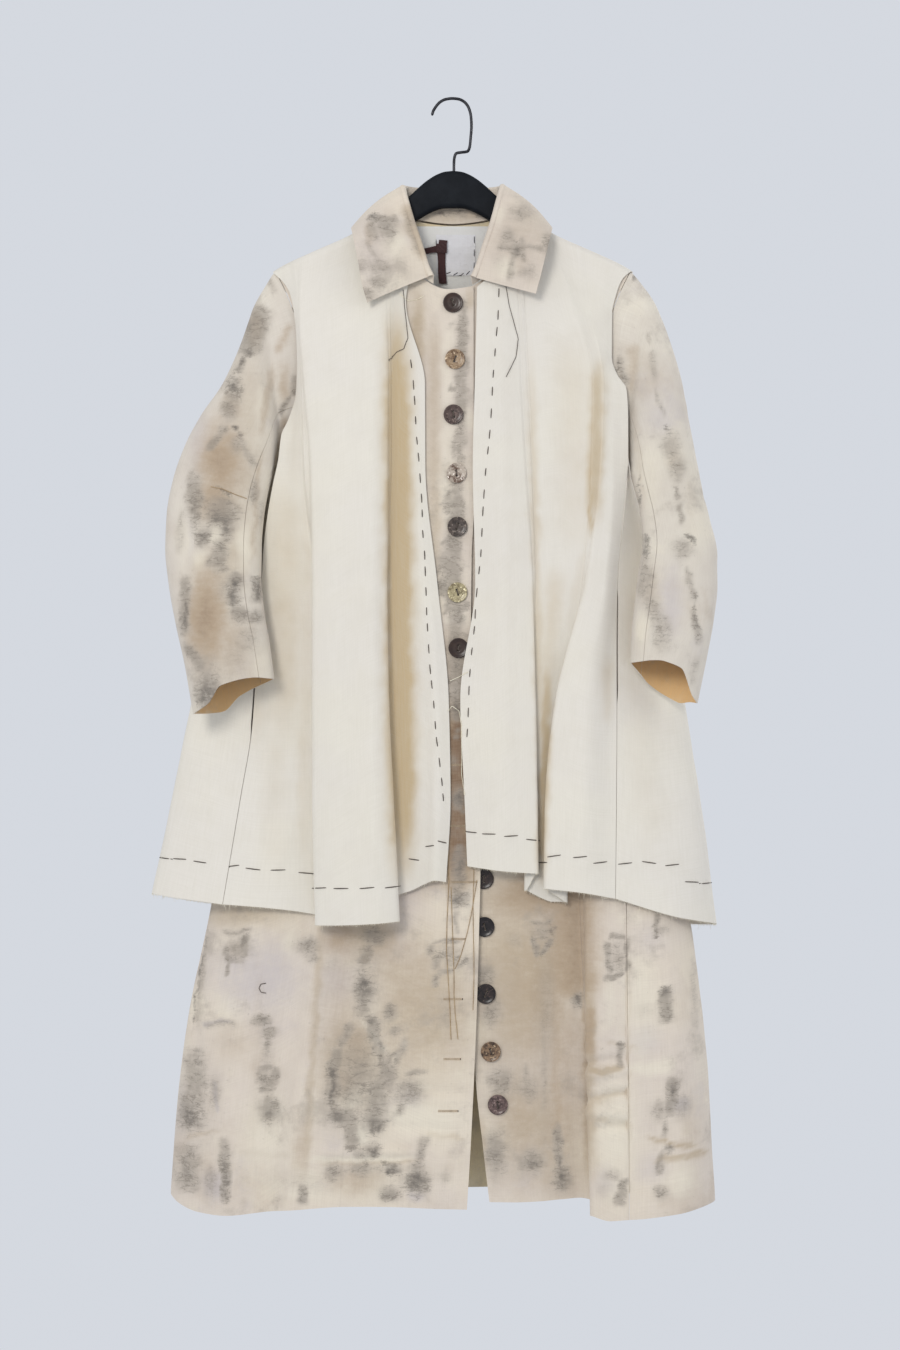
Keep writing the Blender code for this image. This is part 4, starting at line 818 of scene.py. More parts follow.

# stains and prints, with painted shade and highlights: tan and khaki bands darken the placket in the narrow
# gap between the cape's fronts and the panel below the cape's hem, khaki lines darken the fold line and the
# crease troughs, and pale lines and blots light the crease ridges
coatFrontRight["marks"] = {
    "grey": {
        "line": [(463, 286, 460, 480, 7, 0.85), (457, 470, 452, 620, 9, 0.95),
            (455, 590, 456, 690, 9, 0.8), (458, 690, 458, 725, 10, 1.1), (459, 842, 458, 905, 9, 0.7),
            (332, 1098, 344, 1124, 7, 0.6), (344, 1124, 376, 1127, 7, 0.5),
            (351, 1152, 370, 1153, 6, 0.6), (364, 1000, 366, 1022, 9, 0.5),
            (268, 1040, 268, 1112, 8, 0.45), (193, 1040, 188, 1196, 12, 0.35),
            (330, 1168, 400, 1170, 10, 0.4), (334, 1046, 356, 1020, 5, 0.5),
            (352, 1022, 338, 1050, 3, 0.9), (366, 1016, 378, 1060, 3, 0.9),
            (386, 1060, 404, 1046, 3, 0.7), (463, 300, 463, 322, 3.5, 0.7),
            (447, 326, 470, 325, 2.5, 0.7), (465, 345, 466, 372, 5, 0.8), (446, 387, 468, 384, 3, 0.8),
            (459, 394, 462, 404, 4, 0.7), (441, 432, 466, 433, 1.6, 0.4), (455, 428, 455, 458, 4, 0.7),
            (450, 458, 470, 459, 2, 0.5), (450, 486, 445, 516, 5, 0.85), (434, 505, 466, 500, 2.2, 0.7),
            (447, 509, 461, 508, 2, 0.6), (449, 516, 446, 524, 5, 0.7), (438, 541, 466, 547, 3, 0.7),
            (442, 566, 436, 576, 4, 0.7), (440, 608, 474, 606, 5, 0.9), (440, 615, 450, 613, 3, 0.7),
            (448, 630, 474, 638, 4, 0.6), (452, 733, 462, 731, 2, 0.7), (452, 738, 461, 737, 2, 0.6),
            (450, 804, 468, 812, 3, 0.7), (458, 842, 458, 880, 5, 0.8), (450, 852, 466, 856, 2, 0.5),
            (459, 908, 455, 936, 3.5, 0.6), (220, 934, 254, 930, 4, 0.6), (224, 944, 230, 965, 4, 0.85),
            (230, 965, 246, 957, 3.5, 0.7), (245, 958, 246, 934, 4, 0.85), (231, 962, 225, 975, 3, 0.85),
            (372, 944, 362, 967, 6, 0.9), (352, 1022, 340, 1050, 6, 0.7), (366, 1010, 384, 1060, 7, 0.8),
            (340, 1044, 331, 1080, 7, 0.85), (351, 1110, 353, 1155, 8, 0.95),
            (408, 1038, 394, 1066, 4, 0.7), (326, 1058, 334, 1070, 4, 0.7),
            (400, 1076, 430, 1071, 4, 0.65), (404, 1100, 396, 1120, 5, 0.75),
            (267, 1038, 268.6, 1064, 4, 0.75), (256, 1089, 279, 1088, 3, 0.8),
            (196, 1040, 193, 1140, 15, 0.75), (190, 1138, 188, 1196, 15, 0.75),
            (199, 1025, 240, 1023, 5, 0.5), (223.7, 1132, 225, 1206, 6, 0.9),
            (430, 942, 438, 974, 4, 0.85), (438, 974, 434, 988, 3, 0.8), (436, 974, 456, 968, 4, 0.75),
            (456, 968, 470, 956, 4, 0.75), (430, 942, 466, 940, 3, 0.6), (417, 1170, 424.6, 1132, 5, 0.8),
            (303, 1180, 303, 1206, 5, 0.8), (208, 920, 196, 1040, 5, 0.5)],
        "blot": [(452, 762, 7, 12, 0.5), (356, 1080, 32, 58, 0.6), (300, 1180, 60, 18, 0.3),
            (400, 1180, 30, 18, 0.3), (196, 1110, 22, 70, 0.35), (268, 1060, 14, 60, 0.35),
            (365, 970, 18, 50, 0.4), (444, 285, 9, 4, 0.8), (462, 338, 7, 9, 0.7), (462, 385, 7, 9, 0.9),
            (454, 447, 6, 10, 0.8), (451, 549, 9, 7, 0.7), (451, 564, 13, 12, 0.95),
            (443, 586, 8, 12, 0.9), (458, 620, 8, 9, 0.9), (458, 676, 12, 20, 1.1),
            (456, 697, 11, 11, 0.9), (458, 797, 9, 10, 0.95), (460, 898, 12, 11, 0.9),
            (234, 952, 17, 14, 0.55), (308, 946, 14, 10, 0.75), (312, 957, 9, 10, 0.5),
            (318, 1000, 20, 30, 0.22), (374, 938, 14, 11, 0.85), (364, 990, 11, 17, 1),
            (362, 1008, 10, 12, 0.75), (390, 1012, 9, 10, 0.7), (397, 1030, 7, 8, 0.7),
            (386, 1074, 12, 26, 0.75), (333, 1086, 10, 26, 0.95), (342, 1116, 15, 12, 1),
            (376, 1098, 14, 26, 0.95), (366, 1082, 9, 10, 0.6), (376, 1122, 12, 14, 1),
            (370, 1150, 12, 8, 0.95), (410, 1092, 18, 16, 0.7), (261, 1021, 11, 7, 0.95),
            (270, 1033, 10, 8, 0.9), (268.6, 1110, 11, 15, 1), (190, 1110, 15, 26, 0.85),
            (215, 1092, 9, 24, 0.55), (210, 1182, 9, 22, 0.5), (450, 956, 17, 14, 0.55),
            (334, 1172, 12, 12, 0.75), (361, 1168, 12, 10, 0.75), (389, 1194, 12, 10, 0.85),
            (392, 1169, 13, 8, 0.8), (418, 1178, 13, 18, 1), (445, 1175, 10, 8, 0.5),
            (280, 1200, 8, 8, 0.4), (444, 1010, 9, 24, 0.4), (330, 965, 12, 16, 0.3)],
        "ring": [(268, 1076, 9, 8, 5, 0.9)]},
    "dark": {
        "line": [(331.6, 1060, 331.6, 1108, 4, 0.9), (381, 1160, 402, 1177, 3, 0.8),
            (402, 1161, 383, 1176, 3, 0.8), (455, 700, 462, 716, 6, 0.9), (224, 1150, 226, 1204, 3, 0.7),
            (209, 912, 190, 1040, 1.8, 0.8), (374, 1030, 386, 1052, 3, 0.7)],
        "blot": [(244, 942, 4, 8, 0.9), (364.7, 987, 8, 13, 1), (372, 1023, 6, 4.5, 1),
            (338, 1116, 8, 8, 0.8), (376.5, 1127, 9, 9, 0.95), (372, 1151, 8, 6, 1),
            (391, 1010, 4.5, 5, 0.6), (381, 1060, 5, 8, 0.7), (391, 1168, 7, 6, 0.9),
            (417, 1182, 10, 14, 1.1), (268.6, 1113, 6, 9, 0.8), (262, 1020, 6, 4.5, 0.8),
            (439.5, 956, 3.5, 4, 0.85), (458, 954, 3.5, 3, 0.8), (466, 960, 4, 4, 0.75),
            (192, 1118, 9, 14, 0.75), (457, 672, 7, 9, 0.45), (458, 798, 7, 9, 0.8),
            (460, 866, 6, 14, 0.7), (459, 898, 8, 8, 0.8), (441, 580, 5, 7, 0.4), (365, 1088, 5, 5, 0.7),
            (378, 930, 5, 7, 0.5), (186, 1168, 6, 14, 0.5), (392, 1196, 5, 6, 0.7),
            (350, 1148, 4, 8, 0.6)]},
    "tan": {
        "line": [(456, 690, 457, 900, 18, 1.9), (438, 300, 436, 560, 7, 0.35),
            (345, 900, 342, 1130, 28, 0.45), (400, 900, 396, 1120, 30, 0.4)],
        "blot": [(340, 936, 22, 26, 0.9), (356, 1180, 34, 20, 0.7), (236, 950, 14, 14, 0.5),
            (358, 1046, 20, 30, 0.8), (344, 1082, 16, 26, 0.7), (404, 1146, 22, 10, 0.3),
            (300, 1150, 12, 40, 0.55), (236, 1034, 40, 22, 0.35), (395, 960, 50, 50, 0.5),
            (208, 1170, 16, 40, 0.4), (420, 880, 60, 26, 0.5)]},
    "pale": {
        "line": [(358, 1017, 390, 1056, 3, 1), (448, 300, 446, 540, 11, 0.6),
            (300, 1160, 420, 1158, 4, 0.9), (408, 1042, 392, 1062, 2, 0.9)],
        "blot": [(268, 1130, 36, 50, 0.8), (425, 1118, 46, 22, 0.9), (362.6, 1134, 7, 12, 1.1),
            (350, 1100, 14, 14, 0.9), (448, 622, 4, 4, 0.9), (463, 620, 3, 4, 0.8), (458, 818, 8, 5, 0.8),
            (290, 940, 12, 20, 0.6)]},
    "lilac": {
        "line": [(214, 1079, 218, 1116, 3, 0.8), (199, 1025, 235, 1022, 2.5, 0.8)],
        "blot": [(258, 975, 54, 44, 0.9), (214, 1186, 14, 16, 0.9), (415, 1195, 10, 8, 0.9),
            (340, 980, 30, 30, 0.6), (180, 1100, 18, 60, 0.5), (412, 1100, 16, 14, 0.7)]},
    "khakiAndShade": {
        "line": [(312, 1163, 430, 1161, 3, 0.6), (416, 1132, 470, 1139, 4, 0.5),
            (420, 1062, 468, 1052, 4, 0.45), (322, 905, 304, 1190, 6, 0.6),
            (386, 1100, 466, 1108, 4, 0.35), (180, 1140, 226, 1128, 4, 0.5),
            (230, 1150, 300, 1158, 4, 0.35), (262, 930, 250, 1190, 6, 0.3), (370, 945, 364, 966, 4, 0.8),
            (455, 620, 457, 690, 20, 0.6), (456, 720, 458, 900, 26, 0.9), (432, 290, 436, 600, 9, 0.55)],
        "blot": [(430, 1010, 60, 80, 0.8), (372, 938, 30, 26, 0.9), (418, 330, 10, 42, 0.9),
            (470, 300, 8, 16, 0.6), (352, 1060, 44, 60, 0.7), (245, 915, 60, 16, 0.6),
            (232, 1050, 30, 24, 0.4)]},
}
# stains and prints, with painted shade and highlights: tan lines and blots darken the recess beside the
# fold panel and the cloth under the cape's hem, the brown mix paints the deepest of that shadow, khaki
# lines darken the crease troughs and the fold's edge on the lower fold, and a pale line lights a crease
# ridge
coatFrontLeft["marks"] = coatBack["marks"] = {
    "grey": {
        "line": [(527, 922, 556, 921, 3.5, 0.6), (532, 936, 539, 957, 4, 0.8),
            (540, 955, 553, 935, 4, 0.7), (524, 1060, 530, 1108, 5, 0.5),
            (560, 1176, 557.6, 1120, 5, 0.85), (606.8, 938, 610, 975, 4, 0.85),
            (607, 937, 627, 936, 3.4, 0.7), (627, 936, 627, 974, 3.6, 0.8), (600, 980, 627, 972, 4, 0.85),
            (622, 1044, 619, 1070, 4, 0.75), (656, 912, 656, 942, 3.4, 0.8),
            (664, 985, 667, 1027, 7, 0.9), (674, 1072, 670, 1118, 7, 0.9), (668, 1120, 662, 1140, 4, 0.7),
            (664, 1150, 655, 1176, 4, 0.8), (624, 1176, 618, 1208, 7, 0.9), (692, 950, 694, 1040, 5, 0.4),
            (545, 1000, 543, 1120, 4, 0.4)],
        "blot": [(543, 932, 15, 11, 0.6), (484, 976, 12, 13, 0.8), (491, 1012, 12, 16, 0.75),
            (501, 1082, 15, 18, 0.85), (528, 1088, 14, 14, 0.55), (496, 1154, 13, 26, 0.9),
            (532, 1162, 14, 13, 0.8), (561, 1178, 10, 14, 1), (617, 956, 14, 18, 0.6),
            (662, 929, 11, 9, 0.55), (682, 1104, 12, 14, 0.6), (661, 1192, 8, 8, 0.85),
            (612, 1174, 12, 8, 0.5), (577, 1001, 8, 9, 0.9), (548, 1010, 14, 60, 0.35),
            (514, 940, 10, 10, 0.4), (660, 1110, 10, 12, 0.6), (604, 1190, 10, 14, 0.35),
            (645, 1010, 16, 10, 0.3)]},
    "dark": {
        "line": [(558, 1130, 560, 1172, 2.4, 0.8), (674, 1080, 672, 1104, 3.5, 0.7),
            (655, 1188, 666, 1196, 3, 0.8), (656, 925, 657, 942, 2.4, 0.8)],
        "blot": [(553, 931, 4.5, 6, 0.85), (577, 1001, 5, 6, 1), (560, 1178, 8, 11, 0.8),
            (617, 950.5, 4, 4, 0.85), (621.7, 1044.5, 4, 3.5, 0.95), (663.4, 991, 6, 6, 0.95),
            (668, 1149, 7, 7, 0.95), (496, 1158, 6, 12, 0.6), (532, 1163, 5, 7, 0.7),
            (544, 950, 4, 6, 0.6), (486, 990, 5, 10, 0.5)]},
    "tan": {
        "line": [(572, 860, 572, 1010, 30, 1.15), (566, 980, 562, 1230, 34, 0.6),
            (588, 1000, 590, 1060, 8, 1), (556, 900, 558, 1190, 12, 0.7)],
        "blot": [(540, 896, 60, 22, 1.1), (617, 956, 9, 14, 0.4), (690, 1130, 16, 46, 0.4),
            (540, 990, 34, 90, 0.6), (520, 1120, 30, 60, 0.5), (500, 1084, 10, 10, 0.5),
            (646, 900, 20, 16, 0.6)]},
    "pale": {
        "line": [(622, 1068, 680, 1066, 9, 0.8)],
        "blot": [(640, 1000, 26, 60, 0.7), (700, 1060, 12, 50, 0.5), (616, 1130, 26, 60, 0.8),
            (680, 1180, 22, 24, 0.8), (610, 1000, 9, 40, 0.6)]},
    "lilac": {
        "blot": [(680.5, 1104, 9, 9, 0.9), (650, 940, 26, 24, 0.5), (510, 985, 20, 40, 0.5),
            (650, 1170, 24, 22, 0.5), (645, 1040, 22, 20, 0.6), (605, 1180, 16, 22, 0.5)]},
    "khakiAndShade": {
        "line": [(584, 1073, 626, 1067, 3.5, 1.1), (586, 1099, 632, 1091, 3, 0.8),
            (590, 1120, 636, 1126, 4, 0.9), (640, 1138, 704, 1148, 3.5, 0.8),
            (650, 1162, 712, 1152, 3.5, 0.9), (604, 1042, 640, 1048, 3, 0.5),
            (629, 930, 629, 1190, 2.5, 0.5), (588, 940, 590, 1190, 9, 0.8)],
        "blot": [(480, 1150, 9, 40, 0.8), (520, 980, 60, 110, 0.9), (530, 1120, 50, 70, 0.7),
            (600, 1070, 14, 8, 0.6), (600, 1100, 14, 7, 0.6)]},
}
sleeveMarks = {
    "grey": {
        "line": [(264, 304, 245, 357, 12, 1), (245, 357, 236, 374, 4, 0.9), (229, 424, 205, 452, 5, 0.8),
            (236, 430, 256, 470, 5, 0.6), (205, 560, 232, 572, 6, 0.7), (235, 570, 233, 612, 9, 1),
            (259, 572, 256, 606, 8, 0.9), (186, 572, 184, 640, 6, 0.9), (184, 640, 204, 672, 6, 0.9),
            (183, 500, 178, 560, 5, 0.4), (279, 413, 291, 399.5, 4, 0.9), (296, 374, 294, 399, 4.5, 0.9),
            (268, 278, 276, 296, 5, 0.5), (647, 329, 651, 346, 3, 0.46), (651, 346, 656, 385, 4, 0.49),
            (656, 385, 664, 420, 3.4, 0.46), (669, 485, 676, 485, 3, 0.46),
            (675.5, 483, 678, 499, 3.4, 0.56), (678, 499, 683, 528, 3.4, 0.59),
            (688, 566, 692, 605, 4.5, 0.63), (692, 605, 700, 645, 4.5, 0.63),
            (697, 652, 690, 690, 5, 0.4), (616, 352, 628, 388, 7, 0.59), (642, 545, 645, 575, 8, 0.53),
            (644, 590, 668, 640, 11, 0.59), (630, 470, 640, 520, 3.6, 0.49),
            (637, 486, 645, 486, 2, 0.46)],
        "blot": [(253, 330, 9, 20, 0.9), (247, 350, 11, 9, 0.9), (233, 392, 9, 16, 1),
            (229, 409, 8, 14, 0.9), (236, 445, 8, 10, 0.6), (195, 498, 9, 30, 1), (222, 516, 18, 18, 1.1),
            (204, 537, 9, 12, 1), (227, 528, 9, 16, 1), (219, 556, 10, 18, 1), (240, 614, 12, 9, 0.9),
            (255, 618, 11, 8, 0.8), (209, 694, 13, 24, 1.1), (248, 640, 18, 22, 0.45),
            (262, 515, 8, 20, 0.5), (254, 492, 6, 16, 0.7), (236, 660, 18, 20, 0.35),
            (226, 590, 12, 20, 0.4), (671, 446, 12, 16, 0.63), (677, 468, 10, 15, 0.66),
            (682, 549, 12, 15, 0.59), (646, 580, 12, 22, 0.66), (662, 640, 12, 16, 0.53),
            (640, 560, 5, 24, 0.46), (640, 400, 10, 30, 0.17)]},
    "dark": {
        "line": [(245, 355, 235, 374, 2.6, 0.8), (234.8, 575, 233, 612, 5, 0.9),
            (259, 572, 256, 604, 4, 0.8), (684, 532, 697, 544, 3, 0.95), (644, 530, 647, 560, 5, 0.9),
            (187, 596, 185, 632, 3.2, 0.8), (692, 590, 699, 640, 2.6, 0.6), (640, 470, 638, 520, 2, 0.8),
            (213, 487, 236, 497, 2, 0.8)],
        "blot": [(234, 388, 8, 12, 1), (236, 428, 4.5, 4.5, 1), (223, 519, 13, 10, 0.8),
            (203, 536, 7, 8, 0.8), (226, 530, 6, 8, 0.8), (220, 548, 5, 8, 0.7), (208, 694, 9, 20, 1),
            (248, 352, 7, 5, 0.8), (634.5, 278, 4, 5, 0.9), (667.5, 429, 4, 4, 0.8),
            (640, 540, 4, 14, 0.8), (617, 366, 4, 9, 0.9), (194, 505, 4, 16, 0.6), (240, 437, 3, 3, 0.8)]},
    "tan": {
        "line": [(292, 322, 274, 357, 5, 0.7), (274, 357, 260, 442, 5, 0.6), (260, 442, 251, 570, 4, 0.6),
            (634, 340, 632, 400, 7, 0.6), (632, 380, 644, 520, 5, 0.4), (700, 580, 716, 640, 5, 0.35)],
        "blot": [(220, 462, 24, 42, 1.2), (214, 500, 22, 26, 1.1), (206, 616, 22, 54, 1.3),
            (254, 328, 10, 22, 0.9), (231, 405, 12, 16, 0.7), (652, 590, 14, 30, 0.45),
            (674, 458, 12, 24, 0.5), (284, 385, 9, 26, 0.7), (232, 640, 24, 40, 0.55),
            (285, 424, 6, 12, 0.7)]},
    "pale": {
        "blot": [(214.6, 536, 6, 13, 1.2), (262, 660, 16, 26, 0.7), (642, 630, 8, 22, 0.9),
            (700, 520, 16, 60, 0.6), (262, 400, 9, 30, 0.6), (650, 480, 18, 60, 0.7),
            (245, 545, 9, 26, 0.9), (199, 560, 7, 12, 0.9), (183, 540, 9, 40, 0.6)]},
    "lilac": {
        "blot": [(671, 600, 16, 50, 0.7), (240, 300, 12, 20, 0.5), (650, 420, 20, 50, 0.4),
            (200, 440, 16, 40, 0.6), (188, 520, 12, 60, 0.4)]},
    "khakiAndShade": {
        "line": [(250, 330, 236, 600, 30, 0.5)],
        "blot": [(230, 560, 30, 40, 0.6), (690, 500, 8, 50, 0.3), (225, 650, 40, 60, 0.5)]},
}
collarMarks = {
    "grey": {
        "line": [(374, 220, 400, 220, 4, 0.9), (374, 215, 372, 245, 7, 0.7), (366, 240, 380, 262, 4, 0.6),
            (491, 249, 548, 249, 3, 0.85), (508, 236, 526, 262, 4, 0.8), (524, 240, 509, 260, 4, 0.8),
            (511, 258, 511, 282, 5, 0.6), (404, 205, 420, 262, 4, 0.5), (430, 214, 472, 214, 4, 0.6)],
        "blot": [(388, 228, 12, 12, 0.95), (361, 265, 10, 10, 0.6), (381, 268, 12, 9, 0.7),
            (378, 284, 11, 10, 0.7), (367, 295, 12, 9, 0.9), (410, 222, 9, 12, 0.5),
            (520, 213, 15, 10, 0.6), (508, 238, 9, 10, 0.8), (548, 246, 8, 14, 0.8),
            (528, 272, 13, 10, 0.55), (400, 262, 10, 12, 0.35), (498, 262, 9, 12, 0.35),
            (345, 250, 7, 20, 0.3)]},
    "dark": {
        "blot": [(374, 218, 6, 5, 0.95), (389, 227, 5, 5, 0.6), (515.3, 251, 5, 5, 0.8),
            (549, 243, 5, 5, 0.9), (441, 213.5, 5, 3, 0.9), (480, 216, 5, 4, 0.9), (459, 211, 5, 3, 0.8),
            (367, 294, 5, 4, 0.7)]},
    "tan": {
        "line": [(369.5, 222, 369.5, 250, 6, 0.6), (410, 213, 492, 213, 9, 0.6)],
        "blot": [(520, 264, 12, 12, 0.35)]},
    "pale": {
        "blot": [(396, 245, 14, 20, 0.8), (505, 268, 14, 12, 0.8), (500, 215, 8, 14, 0.6)]},
    "lilac": {
        "blot": [(375, 255, 34, 44, 0.7), (520, 245, 40, 44, 0.6)]},
    "khakiAndShade": {
        "line": [(406, 200, 424, 265, 9, 0.8)],
        "blot": [(450, 222, 40, 5, 0.5), (520, 240, 50, 50, 0.55), (385, 250, 44, 50, 0.4)]},
}


def leafPrint(marks, px, py, wide, tall, lean=0.0, strength=1.0):
    # One print of a leaf: a feathery rib with paired side veins, and a darker heart.
    lines, blots = marks["grey"]["line"], marks["grey"]["blot"]
    for k in range(5):
        up = (k / 4 - 0.5) * tall
        half = wide * (0.35 + 0.65 * math.sin(math.pi * (k + 0.6) / 5.2))
        x, y = px + lean * up, py + up
        lines += [(x, y, x + half, y - half * 0.55, 3.4, 0.6 * strength),
                  (x, y, x - half * 0.9, y - half * 0.5, 3.4, 0.55 * strength)]
        blots.append((x, y, half * 0.5, tall * 0.13, 0.7 * strength))
    bend, rise = lean * tall, tall / 2
    lines.append((px - bend / 2, py - rise, px + bend / 2, py + rise, 4, 0.8 * strength))
    marks["dark"]["blot"] += [
        (px + bend * 0.2, py + tall * 0.2, wide * 0.24, tall * 0.12, 0.8 * strength),
        (px - bend * 0.3, py - tall * 0.3, wide * 0.16, tall * 0.07, 0.7 * strength)]


backMarks = {
    "grey": {
        "line": [(450, 880, 452, 1190, 6, 0.5), (210, 930, 196, 1190, 9, 0.5),
            (690, 930, 706, 1190, 9, 0.5), (460, 205, 500, 222, 3, 0.7)],
        "blot": [(430, 215, 12, 8, 0.8), (385, 225, 12, 9, 0.6)]},
    "dark": {
        "line": [(451, 1090, 452, 1150, 3, 0.6)],
        "blot": [(500, 214, 5, 4, 0.7), (400, 218, 5, 4, 0.6)]},
    "tan": {
        "blot": [(360, 1100, 40, 60, 0.6), (560, 1010, 36, 50, 0.5), (240, 520, 20, 46, 0.8),
            (665, 520, 18, 46, 0.6), (610, 1130, 36, 34, 0.5), (470, 215, 24, 10, 0.5)]},
    "pale": {
        "blot": [(420, 985, 30, 44, 0.9), (500, 1140, 30, 40, 0.6), (290, 1110, 28, 38, 0.6),
            (250, 620, 14, 30, 0.6), (670, 600, 14, 30, 0.6)]},
    "lilac": {
        "blot": [(560, 960, 44, 50, 0.6), (260, 1030, 40, 60, 0.6), (640, 1100, 34, 60, 0.5)]},
    "khakiAndShade": {
        "blot": [(450, 1080, 60, 90, 0.5), (340, 960, 50, 40, 0.4)]},
}
# across, height, width, length, lean, strength
backPrints = (
    (318, 960, 14, 60, 0.05), (400, 1060, 20, 110, -0.04, 0.95), (300, 1130, 14, 70, 0.1),
    (560, 950, 14, 50, -0.1), (512, 1080, 18, 96, 0.06), (236, 1010, 13, 70, 0.06),
    (246, 1150, 15, 60, -0.1), (622, 1020, 14, 76, 0.08), (655, 1140, 15, 60), (450, 935, 10, 40, 0, 0.8),
    (585, 1150, 13, 52, 0.1), (360, 1165, 12, 40, 0.1), (252, 350, 8, 60, -0.2, 0.8),
    (240, 440, 10, 60, -0.15), (232, 540, 12, 76), (240, 618, 10, 36, 0.05), (650, 350, 8, 60, 0.2, 0.8),
    (662, 440, 10, 60, 0.15), (680, 540, 12, 76, 0.05), (684, 622, 10, 40))
for place in backPrints:
    leafPrint(backMarks, *place)
coatCreasesRight = [
    (320, 925, 304, 1081, 9, 3), (304, 1060, 288, 1159, 9, 3), (352, 930, 340, 1180, 14, -3),
    (250, 930, 236, 1190, 13, 2.5), (209, 925, 190, 1100, 6, -2.5), (400, 930, 398, 1190, 12, 2),
    (312, 1161, 430, 1158, 3.5, -2.2), (312, 1153, 430, 1150, 4, 1.6), (396, 1088, 470, 1094, 6, -1.6),
    (380, 1124, 470, 1132, 6, -1.8), (400, 1050, 466, 1042, 6, -1.3), (180, 1096, 226, 1080, 6, -1.4),
    (330, 1060, 372, 1052, 4, -1), (268, 1120, 300, 1108, 5, -1.2), (216, 1052, 252, 1040, 5, -1.1),
    (236, 1146, 300, 1152, 6, 1.2), (430, 1000, 428, 1190, 10, -1.6), (186, 1126, 226, 1136, 5, -1.2),
    (372, 958, 412, 968, 6, -0.9), (340, 1110, 392, 1120, 6, 1)]
coatCreasesLeft = [
    (582, 1064, 628, 1058, 5, -4.2), (584, 1076, 632, 1070, 5, 3.4), (584, 1100, 640, 1090, 5, -4),
    (583, 1112, 630, 1116, 5, 3.2), (590, 1130, 660, 1122, 5, -2.6), (640, 1132, 705, 1140, 5, -3.6),
    (640, 1150, 715, 1144, 5, 3), (620, 1030, 660, 1040, 5, -1.8), (600, 1084, 690, 1086, 6, 2.2),
    (650, 1166, 712, 1158, 4, -2.6), (628, 910, 628, 1130, 4, -1.4), (660, 930, 676, 1120, 9, 2.6),
    (604, 920, 602, 1190, 7, 1.6), (530, 900, 522, 1190, 12, 2.4), (556, 900, 552, 1180, 9, -2.2),
    (500, 980, 506, 1190, 9, -1.4), (688, 960, 700, 1100, 7, -1.8), (592, 1040, 618, 1046, 4, -1.2),
    (640, 1010, 664, 1002, 5, -1)]


def dyeAndShadeOn(grid, normals, marks, seed):
    # Front marks where the cloth faces the front, back marks where it faces away. The marks are stains and
    # prints together with painted shade.
    front = marksOn(grid, marks, False, seed)
    behind = marksOn(grid, backMarks, True, seed + 40.0)
    share = np.clip(0.5 - normals[..., 1] * 1.6, 0, 1)[..., None]
    return front * share + behind * (1 - share)


def turnedOut(grid, toward):
    # Grid order whose face normals point on the whole along a direction, or one for each point.
    normals = outwardOf(grid)
    if (normals * toward).sum(axis=2).mean() < 0:
        grid = grid[::-1].copy()
        normals = outwardOf(grid)
    return grid, normals


def softUneven(grid, normals, amount, seed):
    # Small undulation of worn cloth, none near the shoulder and the armholes.
    share = np.clip((-430 - grid[..., 2]) / 470, 0, 1)
    wave = unevenness(grid, 95.0, seed) * 0.6 + unevenness(grid, 38.0, seed + 5) * 0.4
    return grid + normals * (wave * amount * share)[..., None]


def edgeShare(grid, reach=4):
    # 0 on the side and neck edges of a panel, 1 away from them, so neighbours still meet.
    columns = np.arange(grid.shape[0])
    return np.clip(np.minimum(columns, columns[::-1]) / reach, 0, 1)[:, None, None]


insideLook = dict(dyedLook, base=srgb(222, 206, 170), warm=srgb(228, 212, 174), dull=srgb(210, 194, 158),
                  lilac=srgb(212, 196, 166))
insideCoat = clothMaterial("inside of the coat", insideLook)
coatFrontRight["inside"] = coatFrontLeft["inside"] = coatBack["inside"] = insideCoat


def hangCloth(spec, grid, creases, amount, seed, back=False):
    # Turns the cloth the right way out and creases it, away from its seams.
    grid, normals = turnedOut(grid, (0, 1 if back else -1, 0))
    shaped = softUneven(crease(grid, creases, normals, back), normals, amount, seed)
    shaped = grid + (shaped - grid) * edgeShare(grid)
    spec["grid"] = shaped
    if spec["material"] is dyedCloth:
        marks = dyeAndShadeOn(shaped, normals, spec["marks"], seed)
    else:
        marks = marksOn(shaped, spec["marks"], back, seed)
    clothPiece(spec, shaped, marks)


hangCloth(coatFrontRight, frontRight, coatCreasesRight, 1.6, 1.0)
hangCloth(coatFrontLeft, frontLeft, coatCreasesLeft, 1.4, 2.0)
coatCreasesBack = [
    (450, 300, 450, 880, 5, 1.2), (330, 930, 318, 1180, 14, 3), (390, 930, 384, 1190, 13, -2.5),
    (500, 930, 506, 1190, 14, 2.8), (560, 930, 574, 1180, 13, -2.5), (620, 940, 640, 1180, 12, 2.6),
    (270, 940, 250, 1170, 12, -2.4), (300, 1100, 350, 1094, 5, -1.2), (520, 1128, 570, 1136, 5, -1.2)]
hangCloth(coatBack, back, coatCreasesBack, 1.6, 3.0, True)
print("coat hung")


# the cape

